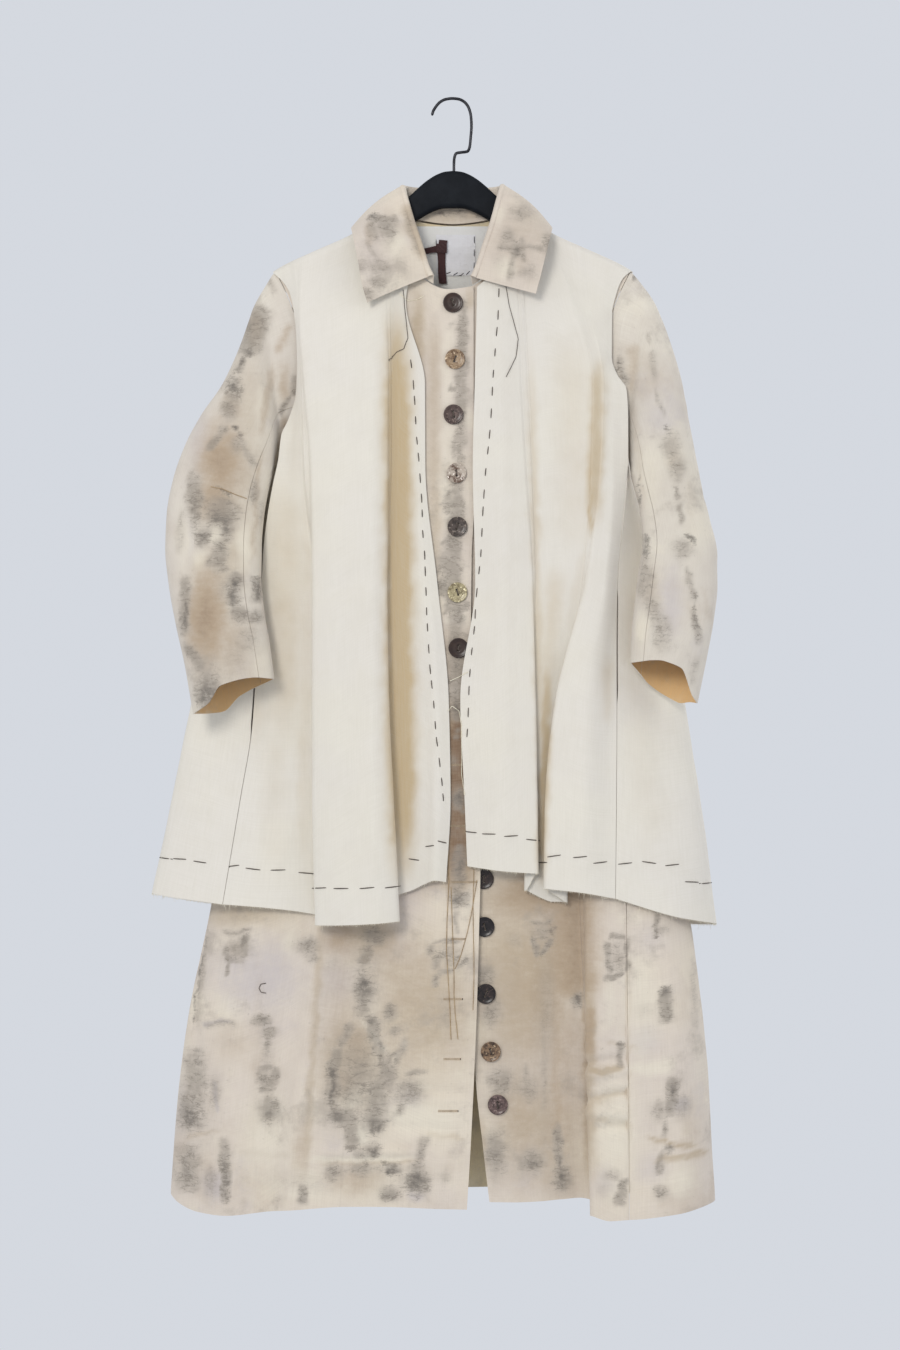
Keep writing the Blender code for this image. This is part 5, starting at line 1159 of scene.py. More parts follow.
cape = {
    "levels": (-250, -350, -450, -590, -730, -850),
    # height, across, depth
    "sideRight": ((-213, -219, 25), (-224, -207, 25), (-240, -197.6, 25), (-262, -193, 26),
        (-311, -188.4, 27), (-361, -190, 27), (-394, -199.8, 25), (-410, -207.7, 24), (-440, -211.5, 24),
        (-470, -218, 23), (-500, -223.5, 22), (-540, -229, 20), (-590, -232, 20), (-690, -238, 26),
        (-768, -243, 31), (-850, -256, 38), (-985, -278, 48)),
    "sideLeft": ((-209, 219, 25), (-222, 205.7, 25), (-243, 197.5, 25), (-263, 193, 26), (-319, 192, 27),
        (-340, 199, 27), (-356, 210, 26), (-400, 212, 26), (-440, 212, 26), (-470, 209.5, 26),
        (-530, 203.5, 28), (-595, 198.4, 30), (-690, 197, 38), (-735, 197, 42), (-850, 196, 50),
        (-975, 194, 62)),
    # height that each side is sewn from, drop until it is closed, top and end of the slit left in it
    "sewnRight": (-640, 80, -660, -776), "sewnLeft": (-424, 36, -596, -737),
    "slitWidth": 1.4, "slitTaper": 14,
}
capeFrontRight = {
    "name": "cape_front_right_cloth", "nodes": ["cape_front_right"], "slot": "cape_cloth", "wall": 1.2,
    "material": canvas, "restsOn": ["coat_front_right_cloth"], "cut": (0.42, 0.86),
    # name, top across, top height, across, depth, hem, bend radius, spans
    "columns": (
        ("edge", -48, -205, (-57, -34, -33.6, -19.3, -5.5, -3.2, -8.5), (31, 35, 36, 39, 43, 46, 49),
         -950, 0, 1),
        ("strip", -52, -193, (-62, -47, -47, -35, -20.5, -18, -21.7), (32, 36, 39, 43, 47, 51, 54), -948,
         0, 1),
        ("bend", -56, -180, (-67, -61, -61, -54, -39.7, -35, -34.9), (31, 35, 36, 39, 43, 46, 49), -953,
         0, 1),
        ("recess", -60, -168, (-71, -70, -70, -68.5, -61, -56.5, -51.7), (31, 34, 35, 38, 41, 44, 47),
         -961, 0, 1),
        ("turn in", -66, -153, (-74.5, -74.5, -74.5, -82, -91, -94, -95), (32, 35.5, 37, 41, 46, 51, 57),
         -972, 3.2, 3),
        ("fold edge", -79, None, (-80, -78, -78, -79.3, -77, -71, -63.7), (33, 40, 44, 51, 58, 64, 70),
         -995, 4, 2),
        ("fold inner", -98, None, (-105, -104, -102, -104.5, -104.5, -99.7, -93.7),
         (34, 44, 51, 61, 69, 76, 83), -997, 0, 1),
        ("fold outer", -136, None, (-147, -144, -143, -140.5, -138, -135.7, -132),
         (34, 42, 49, 59, 67, 73, 80), -999, 0, 1),
        ("fold far edge", -184, None, (-186, -180, -171.7, -169, -168.7, -168, -164),
         (31, 37, 43, 51, 57, 61, 66), -1000, 3.6, 2),
        ("turn out", -192, None, (-188, -183, -180, -164.5, -157.3, -152.5, -147.7),
         (30, 34, 37, 41, 45, 48, 51), -992, 3.2, 2),
        ("near panel", -200, None, (-190, -185.5, -190, -189.7, -186, -184.9, -183.7),
         (29, 32, 33, 35, 38, 41, 46), -986, 0, 1),
        ("side panel", -210, None, (-192, -187.7, -199.5, -208, -214, -222, -234),
         (27, 30, 29, 31, 33, 40, 50), -980, 0, 1),
        ("side", -219, None, None, None, -977, 0, 0)),
}
capeFrontLeft = {
    "name": "cape_front_left_cloth", "nodes": ["cape_front_left"], "slot": "cape_cloth", "wall": 1.2,
    "material": canvas, "restsOn": ["coat_front_left_cloth"], "cut": (0.42, 0.86),
    "columns": (
        ("edge", 29, -233, (28.7, 26.3, 23.9, 26.9, 8.9, 14, 17.3), (31, 35, 37, 40, 43, 46, 49), -931, 0,
         1),
        ("strip", 49, -213, (54, 54, 56.3, 61, 56.3, 58.7, 60), (33, 38, 43, 49, 54, 59, 64), -936, 0, 2),
        ("strip edge", 58, -179, (78, 81.5, 87.5, 96, 99, 100.7, 102), (32, 36, 40, 45, 49, 53, 57), -939,
         4, 1),
        ("turn in", 66, -153, (84, 90, 95, 99, 92.5, 88.7, 86), (31, 34, 36, 39, 43, 46, 49), -960, 3.2, 3),
        ("recess", 79, None, (108, 122, 128, 131, 122, 116, 119), (30, 33, 34, 36, 39, 41, 44), -974, 0, 2),
        ("turn out", 115, None, (146, 168, 166, 156, 142, 137, 137), (29, 32, 34, 38, 43, 46, 50), -974,
         3.2, 2),
        ("fold edge", 156, None, (163, 181, 178, 160, 122, 110.5, 108.5), (28, 33, 38, 44, 50, 55, 60),
         -957, 4, 2),
        ("fold", 190, None, (181, 187, 190.5, 181, 158, 152, 152), (27, 31, 36, 47, 57, 64, 70), -961, 0,
         2),
        ("side", 219, None, None, None, -969, 0, 0)),
}
capeBack = {
    "name": "cape_back_cloth", "nodes": ["cape_back"], "slot": "cape_cloth", "wall": 1.2,
    "material": canvas, "restsOn": ["coat_back_cloth"], "cut": (0.96, 0.92),
    "columns": (
        ("slit right", -219, None, (-197, -192, -221, -243, -246, -256.4, -278.4),
         (24, 31, 22, 3, -22, -38, -48), -977, 0, 2),
        ("wrap right", -208, None, (-191, -187, -226, -272, -286, -302, -322),
         (25, 34, 28, 12, -14, -28, -36), -972, 0, 2),
        ("fold right", -197, None, (-184, -182, -220, -282, -318, -342, -366), (26, 37, 36, 25, 8, 0, -6),
         -967, 0, 2),
        ("side right", -180, None, (-170, -171, -198, -256, -292, -314, -336),
         (26, 38, 41, 41, 39, 39, 40), -978, 0, 2),
        ("ridge right", -150, None, (-143, -146, -162, -204, -227, -244, -260),
         (26, 36, 41, 46, 51, 56, 62), -990, 0, 1),
        ("valley right", -104, None, (-100, -104, -112, -135, -150, -160, -172),
         (25, 35, 38, 41, 43, 44, 45), -996, 0, 1),
        ("ridge inner", -77, None, (-72, -73, -75, -88, -98, -104, -112), (24, 36, 42, 48, 55, 60, 66),
         -1000, 0, 3),
        ("neck", -60, -149, (-54, -55, -57, -62, -68, -72, -78), (24, 36, 42, 48, 55, 61, 67), -1001, 0, 2),
        ("middle", 0, -156, (0, 0, 0, 0, 0, 0, 0), (24, 35, 38, 42, 44, 46, 48), -1001, 0, 2),
        ("neck left", 60, -149, (54, 55, 57, 60, 66, 70, 76), (24, 36, 42, 49, 56, 62, 69), -1004, 0, 3),
        ("ridge inner left", 77, None, (72, 73, 74, 86, 95, 101, 109), (24, 36, 42, 48, 55, 60, 67),
         -1004, 0, 1),
        ("valley left", 104, None, (98, 102, 108, 128, 140, 148, 158), (25, 35, 38, 40, 42, 43, 44),
         -1006, 0, 1),
        ("ridge left", 150, None, (143, 146, 160, 190, 206, 220, 234), (26, 36, 41, 47, 53, 59, 66),
         -1010, 0, 1),
        ("side left", 180, None, (170, 171, 192, 232, 258, 276, 294), (26, 38, 41, 41, 39, 39, 40), -1009,
         0, 2),
        ("fold left", 197, None, (184, 182, 226, 254, 282, 300, 320), (26, 37, 36, 25, 8, 0, -10), -1004,
         0, 2),
        ("wrap left", 208, None, (191, 187, 219, 247, 250, 256, 262), (25, 34, 28, 4, -24, -40, -56),
         -990, 0, 2),
        ("slit left", 219, None, (197, 192, 214, 227, 201, 196.4, 194.4),
         (24, 31, 22, -12, -41, -50, -62), -969, 0, 0)),
}


def capeGrid(spec, front):
    # The outer edges follow the tables of the cape's two sides.
    columns = []
    for name, top, height, across, depth, hem, radius, spans in spec["columns"]:
        start = startOf(top, height, drape["capeRise"])
        z = rowsFrom(start, hem, drape["capeRise"], ((None, fineness["capeBelow"]),))
        edge = cape["sideRight" if top < 0 else "sideLeft"]
        away = np.sign(top) * drape["gap"] * 1.2
        if name == "side":
            x = tableAt(edge, 1, z) - away
            full = tableAt(edge, 2, z)
        else:
            x = smoothThrough((start,) + cape["levels"] + (hem,), (top,) + across, z)
            full = smoothThrough(cape["levels"] + (hem,), depth, z)
        if name.startswith("slit"):
            # both sides are sewn below the slit, the left one above it too
            seam, drop, slitTop, slitEnd = cape["sewnRight" if top < 0 else "sewnLeft"]
            joined = np.clip((seam - z) / drop, 0, 1)
            slit = np.clip(np.minimum(slitTop - z, z - slitEnd) / cape["slitTaper"], 0, 1)
            slit = slit * np.sign(top) * cape["slitWidth"]
            x = x + (tableAt(edge, 1, z) - x) * joined + away + slit
            full = full + (-tableAt(edge, 2, z) - full) * joined
        columns.append(keyColumn(x, full, z, height, radius, spans))
    return hangPanel(columns, drape["capeRise"], front, fineness["cape"])[0]


capeCreasesRight = [
    (319, 591, 385, 569, 9, -1.6), (324, 612, 380, 596, 10, 1.2), (350, 300, 345, 560, 12, 2.2),
    (352, 640, 356, 900, 14, -2.4), (372, 300, 374, 880, 6, 1.4), (330, 420, 332, 760, 8, 1.4),
    (300, 560, 270, 860, 9, -1.6), (290, 600, 246, 880, 12, 2.4), (262, 640, 200, 890, 11, -2.2),
    (414, 420, 412, 860, 5, -1.4), (434, 600, 436, 870, 5, 1.2), (318, 300, 336, 340, 7, -1.2),
    (398, 300, 404, 400, 5, -1.2), (180, 760, 170, 880, 9, 2)]
capeCreasesLeft = [
    (500, 300, 508, 860, 8, 2), (524, 330, 532, 700, 6, -1.2), (568, 300, 566, 600, 14, -2.4),
    (560, 600, 552, 880, 8, -1.4), (612, 400, 606, 560, 7, 1.6), (590, 560, 582, 880, 12, 2.4),
    (600, 300, 596, 372, 8, 1.4), (640, 740, 654, 890, 10, -2), (678, 730, 694, 900, 10, 2),
    (530, 300, 560, 330, 8, -1.2), (616, 620, 612, 860, 8, -1.6), (486, 500, 482, 840, 5, -1)]
capeCreasesBack = [
    (450, 290, 450, 905, 12, 2.2), (384, 300, 376, 900, 14, -2.6), (516, 300, 524, 900, 14, -2.6),
    (330, 420, 314, 900, 12, 2.4), (570, 420, 590, 900, 12, 2.4), (270, 560, 236, 880, 13, -2.4),
    (630, 560, 668, 880, 13, -2.4), (420, 500, 414, 880, 9, 1.6), (482, 520, 490, 880, 9, 1.6),
    (330, 600, 400, 570, 9, -1.4), (500, 640, 572, 620, 9, -1.4), (220, 760, 206, 880, 9, 2)]
# painted shade only: khaki lines darken the recess beside the big fold's right edge, the fold's left edge
# and the side panel
capeFrontRight["marks"] = {
    "khakiAndShade": {
        "line": [(396, 290, 402, 900, 15, 1.25), (306, 430, 302, 890, 9, 0.3),
            (292, 300, 286, 420, 10, 0.2), (288, 460, 284, 760, 24, 0.42), (270, 640, 276, 900, 20, 0.22),
            (300, 320, 292, 560, 12, 0.25), (330, 860, 386, 864, 30, 0.12)],
        "blot": [(255, 690, 16, 60, 0.35)]},
}
# painted shade only: khaki lines darken the valleys and recesses beside the folds of the left front
capeFrontLeft["marks"] = {
    "khakiAndShade": {
        "line": [(599, 350, 592, 535, 11, 0.7), (592, 455, 590, 540, 4, 0.75),
            (588, 540, 566, 640, 8, 0.25), (548, 650, 541, 890, 7, 0.8), (572, 320, 578, 560, 30, 0.3),
            (530, 320, 543, 870, 7, 0.45), (556, 560, 546, 700, 14, 0.4), (608, 650, 607, 730, 9, 0.35),
            (640, 740, 652, 890, 14, 0.12), (508, 320, 512, 860, 10, 0.1)]},
}
# painted shade only: broad khaki bands darken the back's fold valleys
capeBack["marks"] = {
    "khakiAndShade": {
        "line": [(376, 300, 366, 900, 30, 0.22), (524, 300, 536, 900, 30, 0.22),
            (300, 440, 254, 890, 26, 0.2), (600, 440, 650, 890, 26, 0.2), (450, 280, 450, 900, 26, 0.12)]},
}

hangCloth(capeFrontRight, capeGrid(capeFrontRight, True), capeCreasesRight, 0.9, 5.0)
hangCloth(capeFrontLeft, capeGrid(capeFrontLeft, True), capeCreasesLeft, 0.9, 6.0)
hangCloth(capeBack, capeGrid(capeBack, False), capeCreasesBack, 0.9, 7.0, True)
print("cape hung")


# the sleeves

sleeves = {
    # share of the ring each side of the underarm that the under sleeve takes
    "underColumns": 0.145, "fine": 13,
    # share of the way from a cuff's outer to its inner end, lift in front, lift behind
    "cuffRight": ((0, 0, 0), (0.2, 4, -8), (0.36, 19, -12), (0.55, 17, -2), (0.75, 12, 0), (1, 0, 0)),
    "cuffLeft": ((0, 0, 0), (0.08, 4, -3), (0.26, 29, -12), (0.52, 25, -13), (0.71, 17, -11),
        (0.85, 9, -5), (1, 0, 0)),
    # outer across and height, inner across and height, middle depth, half depth in front and behind,
    # share of the cuff's shape
    "right": (
        (-229, -229, -209, -416, 0, 21, 24, 0),
        (-243, -255, -211, -421, -2, 25, 27, 0),
        (-255, -294, -213, -428, -5, 28, 28, 0),
        (-277, -344, -215, -437, -9, 29, 28, 0),
        (-305, -386, -217, -449, -14, 29, 28, 0),
        (-324, -423, -220, -462, -19, 28, 27, 0),
        (-338.5, -467, -225, -484, -25, 27, 26, 0),
        (-345, -507, -229, -512, -31, 27, 25, 0),
        (-346, -547, -231, -545, -38, 28, 25, 0),
        (-341, -592, -231, -583, -46, 29, 26, 0),
        (-331.5, -641, -227, -624, -54, 29, 27, 0.2),
        (-320, -690, -220, -662, -61, 29, 28, 0.6),
        (-309.4, -748, -213.6, -706, -68, 30, 30, 1)),
    "left": ((230, -226, 209, -416, 0, 21, 24, 0), (246, -250, 211, -421, -2, 25, 27, 0),
        (261, -290, 212.5, -428, -5, 28, 28, 0), (273, -330, 214, -437, -9, 29, 28, 0),
        (283, -375, 215.5, -449, -14, 29, 28, 0), (291, -418, 216, -459, -19, 28, 27, 0),
        (299, -468, 221.5, -482, -25, 27, 26, 0), (308, -509, 227, -508, -32, 27, 25, 0),
        (317, -553, 229, -540, -39, 28, 25, 0), (317, -592, 223, -580, -46, 29, 26, 0),
        (312, -634, 218, -618, -53, 29, 27, 0.2), (303, -680, 214, -650, -60, 29, 28, 0.6),
        (291, -735, 212, -687, -67, 30, 30, 1)),
}


def sleeveRings(table, side, fore, rear):
    # The first ring is the coat's own armhole edge, moved out by the seam gap.
    fore, rear = [line[line[:, 2] > underarm - 0.5] for line in (fore, rear)]
    ring = np.concatenate([fore, rear[::-1][1:-1]])
    last = len(fore) - 1
    ring[0] = (fore[0] + rear[0]) / 2
    ring[last] = (fore[-1] + rear[-1]) / 2
    top, low = ring[0, 2], ring[last, 2]
    down = (top - ring[:, 2]) / (top - low)
    angles = np.arccos(np.clip(1 - 2 * down, -1, 1))
    angles[last + 1:] = 2 * math.pi - angles[last + 1:]
    ring[:, 0] += side * (0.8 + 1.8 * np.clip((down - 0.7) / 0.3, 0, 1))
    lead = ring + np.stack([side * (3 - 2 * down), 0 * down, -1.2 * (1 - down)], axis=1)
    rings = [ring, lead]
    cuff = sleeves["cuffRight" if side < 0 else "cuffLeft"]
    for outX, outZ, inX, inZ, middle, ahead, behind, shaped in table:
        share = (1 - np.cos(angles)) / 2
        forward = np.sin(angles)
        y = middle - forward * np.where(forward > 0, ahead, behind)
        lift = np.where(forward > 0, tableAt(cuff, 1, share), tableAt(cuff, 2, share)) * shaped
        rings.append(np.stack([outX + (inX - outX) * share, y, outZ + (inZ - outZ) * share + lift], axis=1))
    rings = np.array(rings)
    at = np.concatenate([[0, 0.5], np.linspace(1, len(rings) - 1, (len(rings) - 2) * sleeves["fine"] + 1)])
    return smoothLine(rings, at), angles, last


def sleevePart(rings, first, last):
    # The columns of a ring between two of its points, drawn back a little from the seam.
    count = rings.shape[1]
    out = [rings[:, k % count].copy() for k in range(first, last + 1)]
    for end, near in ((0, 1), (-1, -2)):
        step = out[near] - out[end]
        out[end] = out[end] + step / np.linalg.norm(step, axis=1)[:, None] * 0.25
    return np.array(out)


sleeveLook = dict(dyedLook, base=srgb(216, 207, 195), warm=srgb(226, 218, 203), dull=srgb(206, 195, 182))
sleeveInsideLook = dict(dyedLook, base=srgb(222, 180, 124), warm=srgb(228, 188, 132),
                        dull=srgb(208, 166, 112), lilac=srgb(210, 168, 118))
sleeveInside = clothMaterial("inside of the sleeves", sleeveInsideLook)
sleeveCloth = clothMaterial("plant dyed sleeve cloth", sleeveLook)
sleeveCreases = [
    (250, 320, 226, 400, 8, 2), (222, 410, 206, 470, 7, -2.2), (262, 430, 226, 442, 5, -2),
    (258, 470, 214, 482, 6, 2), (252, 505, 200, 500, 5, -2), (250, 548, 190, 560, 6, 1.8),
    (256, 590, 206, 606, 6, -1.8), (180, 540, 186, 610, 6, -1.6), (262, 640, 214, 640, 7, 1.4),
    (640, 320, 668, 420, 8, 2), (640, 420, 676, 436, 5, -2), (646, 470, 690, 480, 6, 2),
    (650, 520, 700, 512, 5, -2), (652, 556, 706, 566, 6, 1.8), (646, 600, 700, 610, 6, -1.8),
    (704, 520, 706, 590, 6, -1.6), (640, 640, 690, 646, 6, 1.4)]

for side, word in ((-1, "right"), (1, "left")):
    fore = coatFrontRight if side < 0 else coatFrontLeft
    foreGrid = frontRight if side < 0 else frontLeft
    rings, angles, last = sleeveRings(sleeves[word], side, foreGrid[-1], back[-1 if side > 0 else 0])
    centre = rings.mean(axis=1)[None, :, :]
    under = np.nonzero(np.abs(angles - math.pi) <= 2 * math.pi * sleeves["underColumns"])[0]
    for part, pieces, first, end, cut in (
            ("top", ("top", "forearm"), under[-1], under[0] + rings.shape[1], (0.26, 0.60)),
            ("under", ("under",), under[0], under[-1], (0.12, 0.44))):
        grid = sleevePart(rings, first, end)
        grid, normals = turnedOut(grid, grid - centre)
        shaped = (crease(grid, sleeveCreases, normals) + crease(grid, sleeveCreases, normals, True)) / 2
        ends = np.clip(np.arange(grid.shape[1]) / 8.0, 0, 1)[None, :, None]
        shaped = grid + (shaped - grid) * ends * edgeShare(grid, 3)
        nodes = ["sleeve_%s_%s" % (word, cutPiece) for cutPiece in pieces]
        spec = {"name": "sleeve_%s_%s_cloth" % (word, part), "nodes": nodes, "slot": "coat_cloth",
                "wall": 1.4, "material": sleeveCloth, "inside": sleeveInside, "cut": cut,
                "restsOn": ["coat_back_cloth"], "grid": shaped}
        sleeves[word + part] = spec
        clothPiece(spec, shaped, dyeAndShadeOn(shaped, normals, sleeveMarks, 11.0 + side))
print("sleeves hung")


# the collar

collar = {
    "name": "collar_cloth", "nodes": ["collar"], "slot": "coat_cloth", "wall": 1.5, "material": dyedCloth,
    "restsOn": ["coat_back_cloth"], "cut": (0.5, 0.15),
    # neck across and height, side (-1 front, 1 back), crown of the roll, outer edge
    "sections": (
        (-24, -230, -1, (-27, -37, -220), (-103, -50, -254.6)),
        (-38, -219, -1, (-31, -37, -206), (-110, -50, -229)),
        (-51, -196, -1, (-37, -36, -186), (-114, -49, -206)),
        (-60, -163, -1, (-48, -29, -153), (-120, -37, -175)),
        (-65, -141, -1, (-58, -14, -116), (-123, -17, -160)),
        (-71, -131, 0, (-60, 0, -104.5), (-123, 0, -156)),
        (-65, -141, 1, (-57, 11, -103.5), (-116, 20, -160)),
        (-43, -147, 1, (-44, 17, -104.5), (-84, 31, -176)),
        (0, -152, 1, (0, 18, -105.5), (0, 33, -184)),
        (43, -147, 1, (44, 17, -104.5), (84, 31, -177)),
        (65, -141, 1, (57, 11, -103.5), (114, 20, -161)),
        (71, -131, 0, (59, 0, -103.5), (120, 0, -156)),
        (65, -141, -1, (56, -14, -116), (120, -17, -160)),
        (60, -163, -1, (46, -29, -155), (117, -37, -174)),
        (51, -196, -1, (35, -36, -188), (110, -49, -203)),
        (38, -219, -1, (29, -37, -207), (105, -50, -223)),
        (24, -230, -1, (24, -37, -221), (99.4, -50, -243.9))),
    "spans": (1, 1, 1, 2, 3, 3, 2, 2, 2, 2, 3, 3, 2, 1, 1, 1), "roll": 3.3, "foot": 2.2, "finer": 5,
    # depth of the coat at the neck seam in front and behind, points that the seam is searched at
    "depthFront": 26.0, "depthBack": 20.0, "seamPoints": 1200,
}


def alongLine(line, at):
    far = farAlong(line)
    return np.stack([np.interp(np.asarray(at) * far[-1], far, line[:, k]) for k in range(3)], axis=1)


def collarGrid(neckLine):
    # One cut of cloth: up the stand from the neck seam, over the roll and down the fall.
    count = collar["seamPoints"]
    dense = alongLine(neckLine, np.linspace(0, 1, count + 1))
    keys = []
    for number, (x, z, side, crown, edge) in enumerate(collar["sections"]):
        full = collar["depthFront" if side < 0 else "depthBack"]
        depth = float(depthUnder(x, z, full, drape["coatRise"]))
        # the right half of the neck first, then the left one
        first = 0 if number <= len(collar["sections"]) // 2 else count // 2
        away = np.linalg.norm(dense[first:first + count // 2 + 1] - (x, depth * side, z), axis=1)
        nearest = first + np.argmin(away)
        keys.append([(nearest / count, 0, 0), crown, edge])
    at = [0.0]
    for number, span in enumerate(collar["spans"]):
        steps = span * collar["finer"]
        at += [number + (k + 1) / steps for k in range(steps)]
    sections = smoothLine(keys, at)
    grid = []
    radius = collar["roll"]
    for number, (seam, crown, edge) in enumerate(sections):
        neck = dense[int(round(seam[0] * count))]
        before = sections[max(number - collar["finer"], 0)][1]
        after = sections[min(number + collar["finer"], len(sections) - 1)][1]
        roll = (after - before) / np.linalg.norm(after - before)
        rise = (crown - neck) - roll * np.dot(crown - neck, roll)
        rise = rise / np.linalg.norm(rise)
        out = np.cross(roll, rise)
        out = out * (1 if np.dot(out, edge - crown) > 0 else -1)
        centre = crown - rise * radius
        bend = [centre + out * radius * math.cos(a) + rise * radius * math.sin(a)
                for a in np.linspace(math.pi, 0, 11)]
        foot = neck + (bend[0] - neck) / np.linalg.norm(bend[0] - neck) * collar["foot"]
        shape = [foot + (bend[0] - foot) * share for share in np.linspace(0, 1, 11)[:-1]] + bend
        away = (edge - bend[-1]) / np.linalg.norm(edge - bend[-1])
        swell = out - away * np.dot(out, away)
        for share in np.linspace(0, 1, 26)[1:]:
            shape.append(bend[-1] + (edge - bend[-1]) * share + swell * 5.0 * math.sin(math.pi * share))
        grid.append(shape)
    return np.array(grid)


grid = collarGrid(np.concatenate([neckRight, neckBack, neckLeft[::-1]]))
collar["grid"] = grid
clothPiece(collar, grid, dyeAndShadeOn(grid, outwardOf(grid), collarMarks, 21.0))
print("collar turned")


# inside the neck: facing, bare label and the tied ribbon

def gridTree(grid):
    return BVHTree.FromPolygons([tuple(point) for point in grid.reshape(-1, 3)], gridFaces(grid))


worn = {
    "capeRight": capeFrontRight, "capeLeft": capeFrontLeft, "capeBack": capeBack,
    "sleeveRight": sleeves["righttop"], "sleeveLeft": sleeves["lefttop"], "collar": collar,
    "coatRight": coatFrontRight, "coatLeft": coatFrontLeft, "coatBack": coatBack,
}
trees = {word: gridTree(spec["grid"]) for word, spec in worn.items()}
flatBack = gridTree(back)


def insideBack(x, z, inward):
    depth = np.array([flatBack.ray_cast(Vector((a, -400.0, b)), Vector((0, 1, 0)))[0].y
                      for a, b in zip(np.ravel(x), np.ravel(z))])
    return np.stack([x, depth.reshape(np.shape(x)) - inward, z], axis=-1)


facing = {
    "name": "back_facing_cloth", "nodes": ["back_facing"], "slot": "facing_cloth", "wall": 0.9,
    "material": facingCloth, "restsOn": ["coat_back_cloth"], "cut": (0.125, 0.092), "inward": 1.8,
    "box": (-57, -152.8, 57, -240),
}
label = {
    "name": "label_cloth_piece", "nodes": ["label"], "slot": "label_cloth", "wall": 0.7,
    "material": labelCloth, "restsOn": ["back_facing_cloth"], "cut": (0.05, 0.052), "inward": 3.0,
    "box": (-20.5, -163, 27.5, -212),
}
for spec in (facing, label):
    x0, z0, x1, z1 = spec["box"]
    x, z = np.meshgrid(np.linspace(x0, x1, 49), np.linspace(z0, z1, 41), indexing="ij")
    spec["grid"] = insideBack(x, z, spec["inward"])
    if spec is label:
        spec["grid"][..., 1] -= 0.35 * np.sin(x / 6.0 + z / 9.0) + 0.25 * np.sin(z / 5.0)
    spec["grid"] = turnedOut(spec["grid"], (0, -1, 0))[0]
    clothPiece(spec, spec["grid"])
trees["label"] = gridTree(label["grid"])

ribbon = {
    "nodes": ["ribbon"], "slot": "ribbon_cloth", "wall": 0.9, "material": ribbonCloth,
    "restsOn": ["label_cloth_piece"], "inward": 4.6,
    # three strips and the knot
    "cuts": ((0.010, 0.040), (0.0105, 0.042), (0.0105, 0.012), (0.015, 0.013)),
    # two edges of each strip, each as across, height, lift off the label
    "strips": (
        ((-46.8, -182, 0.2), (-33, -179.5, 1), (-18, -176.5, 1.4), (-8, -176, 1.6)),
        ((-44, -190, 0.2), (-32, -186.5, 1), (-19.5, -184.5, 1.4), (-9, -185, 1.6)),
        ((-19.5, -183, 1), (-18.4, -196, 0.9), (-18.2, -209, 0.7), (-17, -222, 0.3)),
        ((-9, -183, 1), (-9.4, -196, 0.9), (-8.8, -209, 0.7), (-7.5, -222, 0.3)),
        ((-17, -169.6, 0.4), (-17.4, -173, 1), (-18.2, -177, 1.6), (-18.6, -180, 1.8)),
        ((-6.8, -170.4, 0.4), (-7.2, -173, 1), (-8, -177, 1.6), (-8.2, -180, 1.8))),
}
strips = []
for number in range(0, len(ribbon["strips"]), 2):
    lines = [smoothLine(ribbon["strips"][number + k], np.linspace(0, 3, 22)) for k in (0, 1)]
    grid = np.array([lines[0] + (lines[1] - lines[0]) * share for share in np.linspace(0, 1, 9)])
    base = insideBack(grid[..., 0], grid[..., 1], ribbon["inward"])
    bow = np.sin(np.linspace(0, math.pi, 9))[:, None]
    base[..., 1] -= grid[..., 2] + 0.35 * bow + number * 0.15
    strips.append(turnedOut(base, (0, -1, 0))[0])
x, z = np.meshgrid(np.linspace(-20.4, -7.6, 21), np.linspace(-174.6, -185.4, 19), indexing="ij")
knot = insideBack(x, z, ribbon["inward"])
wide, tall = np.clip(1 - ((x + 14) / 6.8) ** 2, 0, 1), np.clip(1 - ((z + 180) / 5.8) ** 2, 0, 1)
knot[..., 1] -= 2.4 + 1.2 * np.sqrt(wide * tall)
knot[..., 1] += 0.4 * np.sin((x + z) * 1.1)
strips.append(turnedOut(knot, (0, -1, 0))[0])
for number, (grid, cut) in enumerate(zip(strips, ribbon["cuts"])):
    clothPiece(dict(ribbon, name="ribbon_strip_%d" % number, cut=cut), grid)
print("neck pieces laid")

# the hanger

satinLook = {"base": srgb(17, 20, 25), "spots": srgb(24, 27, 32), "scale": 30.0, "rough": (0.5, 0.68),
             "bump": 0.15, "shine": 0.12}
wireLook = {"base": srgb(58, 58, 62), "spots": srgb(40, 40, 44), "scale": 120.0, "rough": (0.3, 0.5),
            "metal": 0.85}
verts, faces = [], []
oneArm = np.linspace(0, hanger["depth"][-1][0], hanger["stations"] + 1)
stations = np.concatenate([-oneArm[::-1], oneArm[1:]])
arc = hanger["around"] // 2
for x in stations:
    depth = float(tableAt(hanger["depth"], 1, abs(x)))
    top = float(hangerTop(x))
    end = max((abs(x) - hanger["tip"]) / hanger["tipLength"], 0)
    half = (hanger["half"] - 1.0) * math.sqrt(max(1 - end * end * 0.75, 0.1))
    ring = [(x, half * math.cos(a), top - half + half * math.sin(a)) for a in np.linspace(0, math.pi, arc)]
    ring += [(x, half * math.cos(a), top - depth + half + half * math.sin(a))
             for a in np.linspace(math.pi, 2 * math.pi, arc)]
    verts += ring
around = arc * 2
for i in range(len(stations) - 1):
    for k in range(around):
        j = (k + 1) % around
        faces.append((i * around + k, i * around + j, (i + 1) * around + j, (i + 1) * around + k))
faces.append(tuple(reversed(range(around))))
faces.append(tuple(range((len(stations) - 1) * around, len(stations) * around)))
satin = plainMaterial("black hanger", satinLook)
meshPiece("hanger_body_shape", verts, faces, satin, ["hanger_body"])

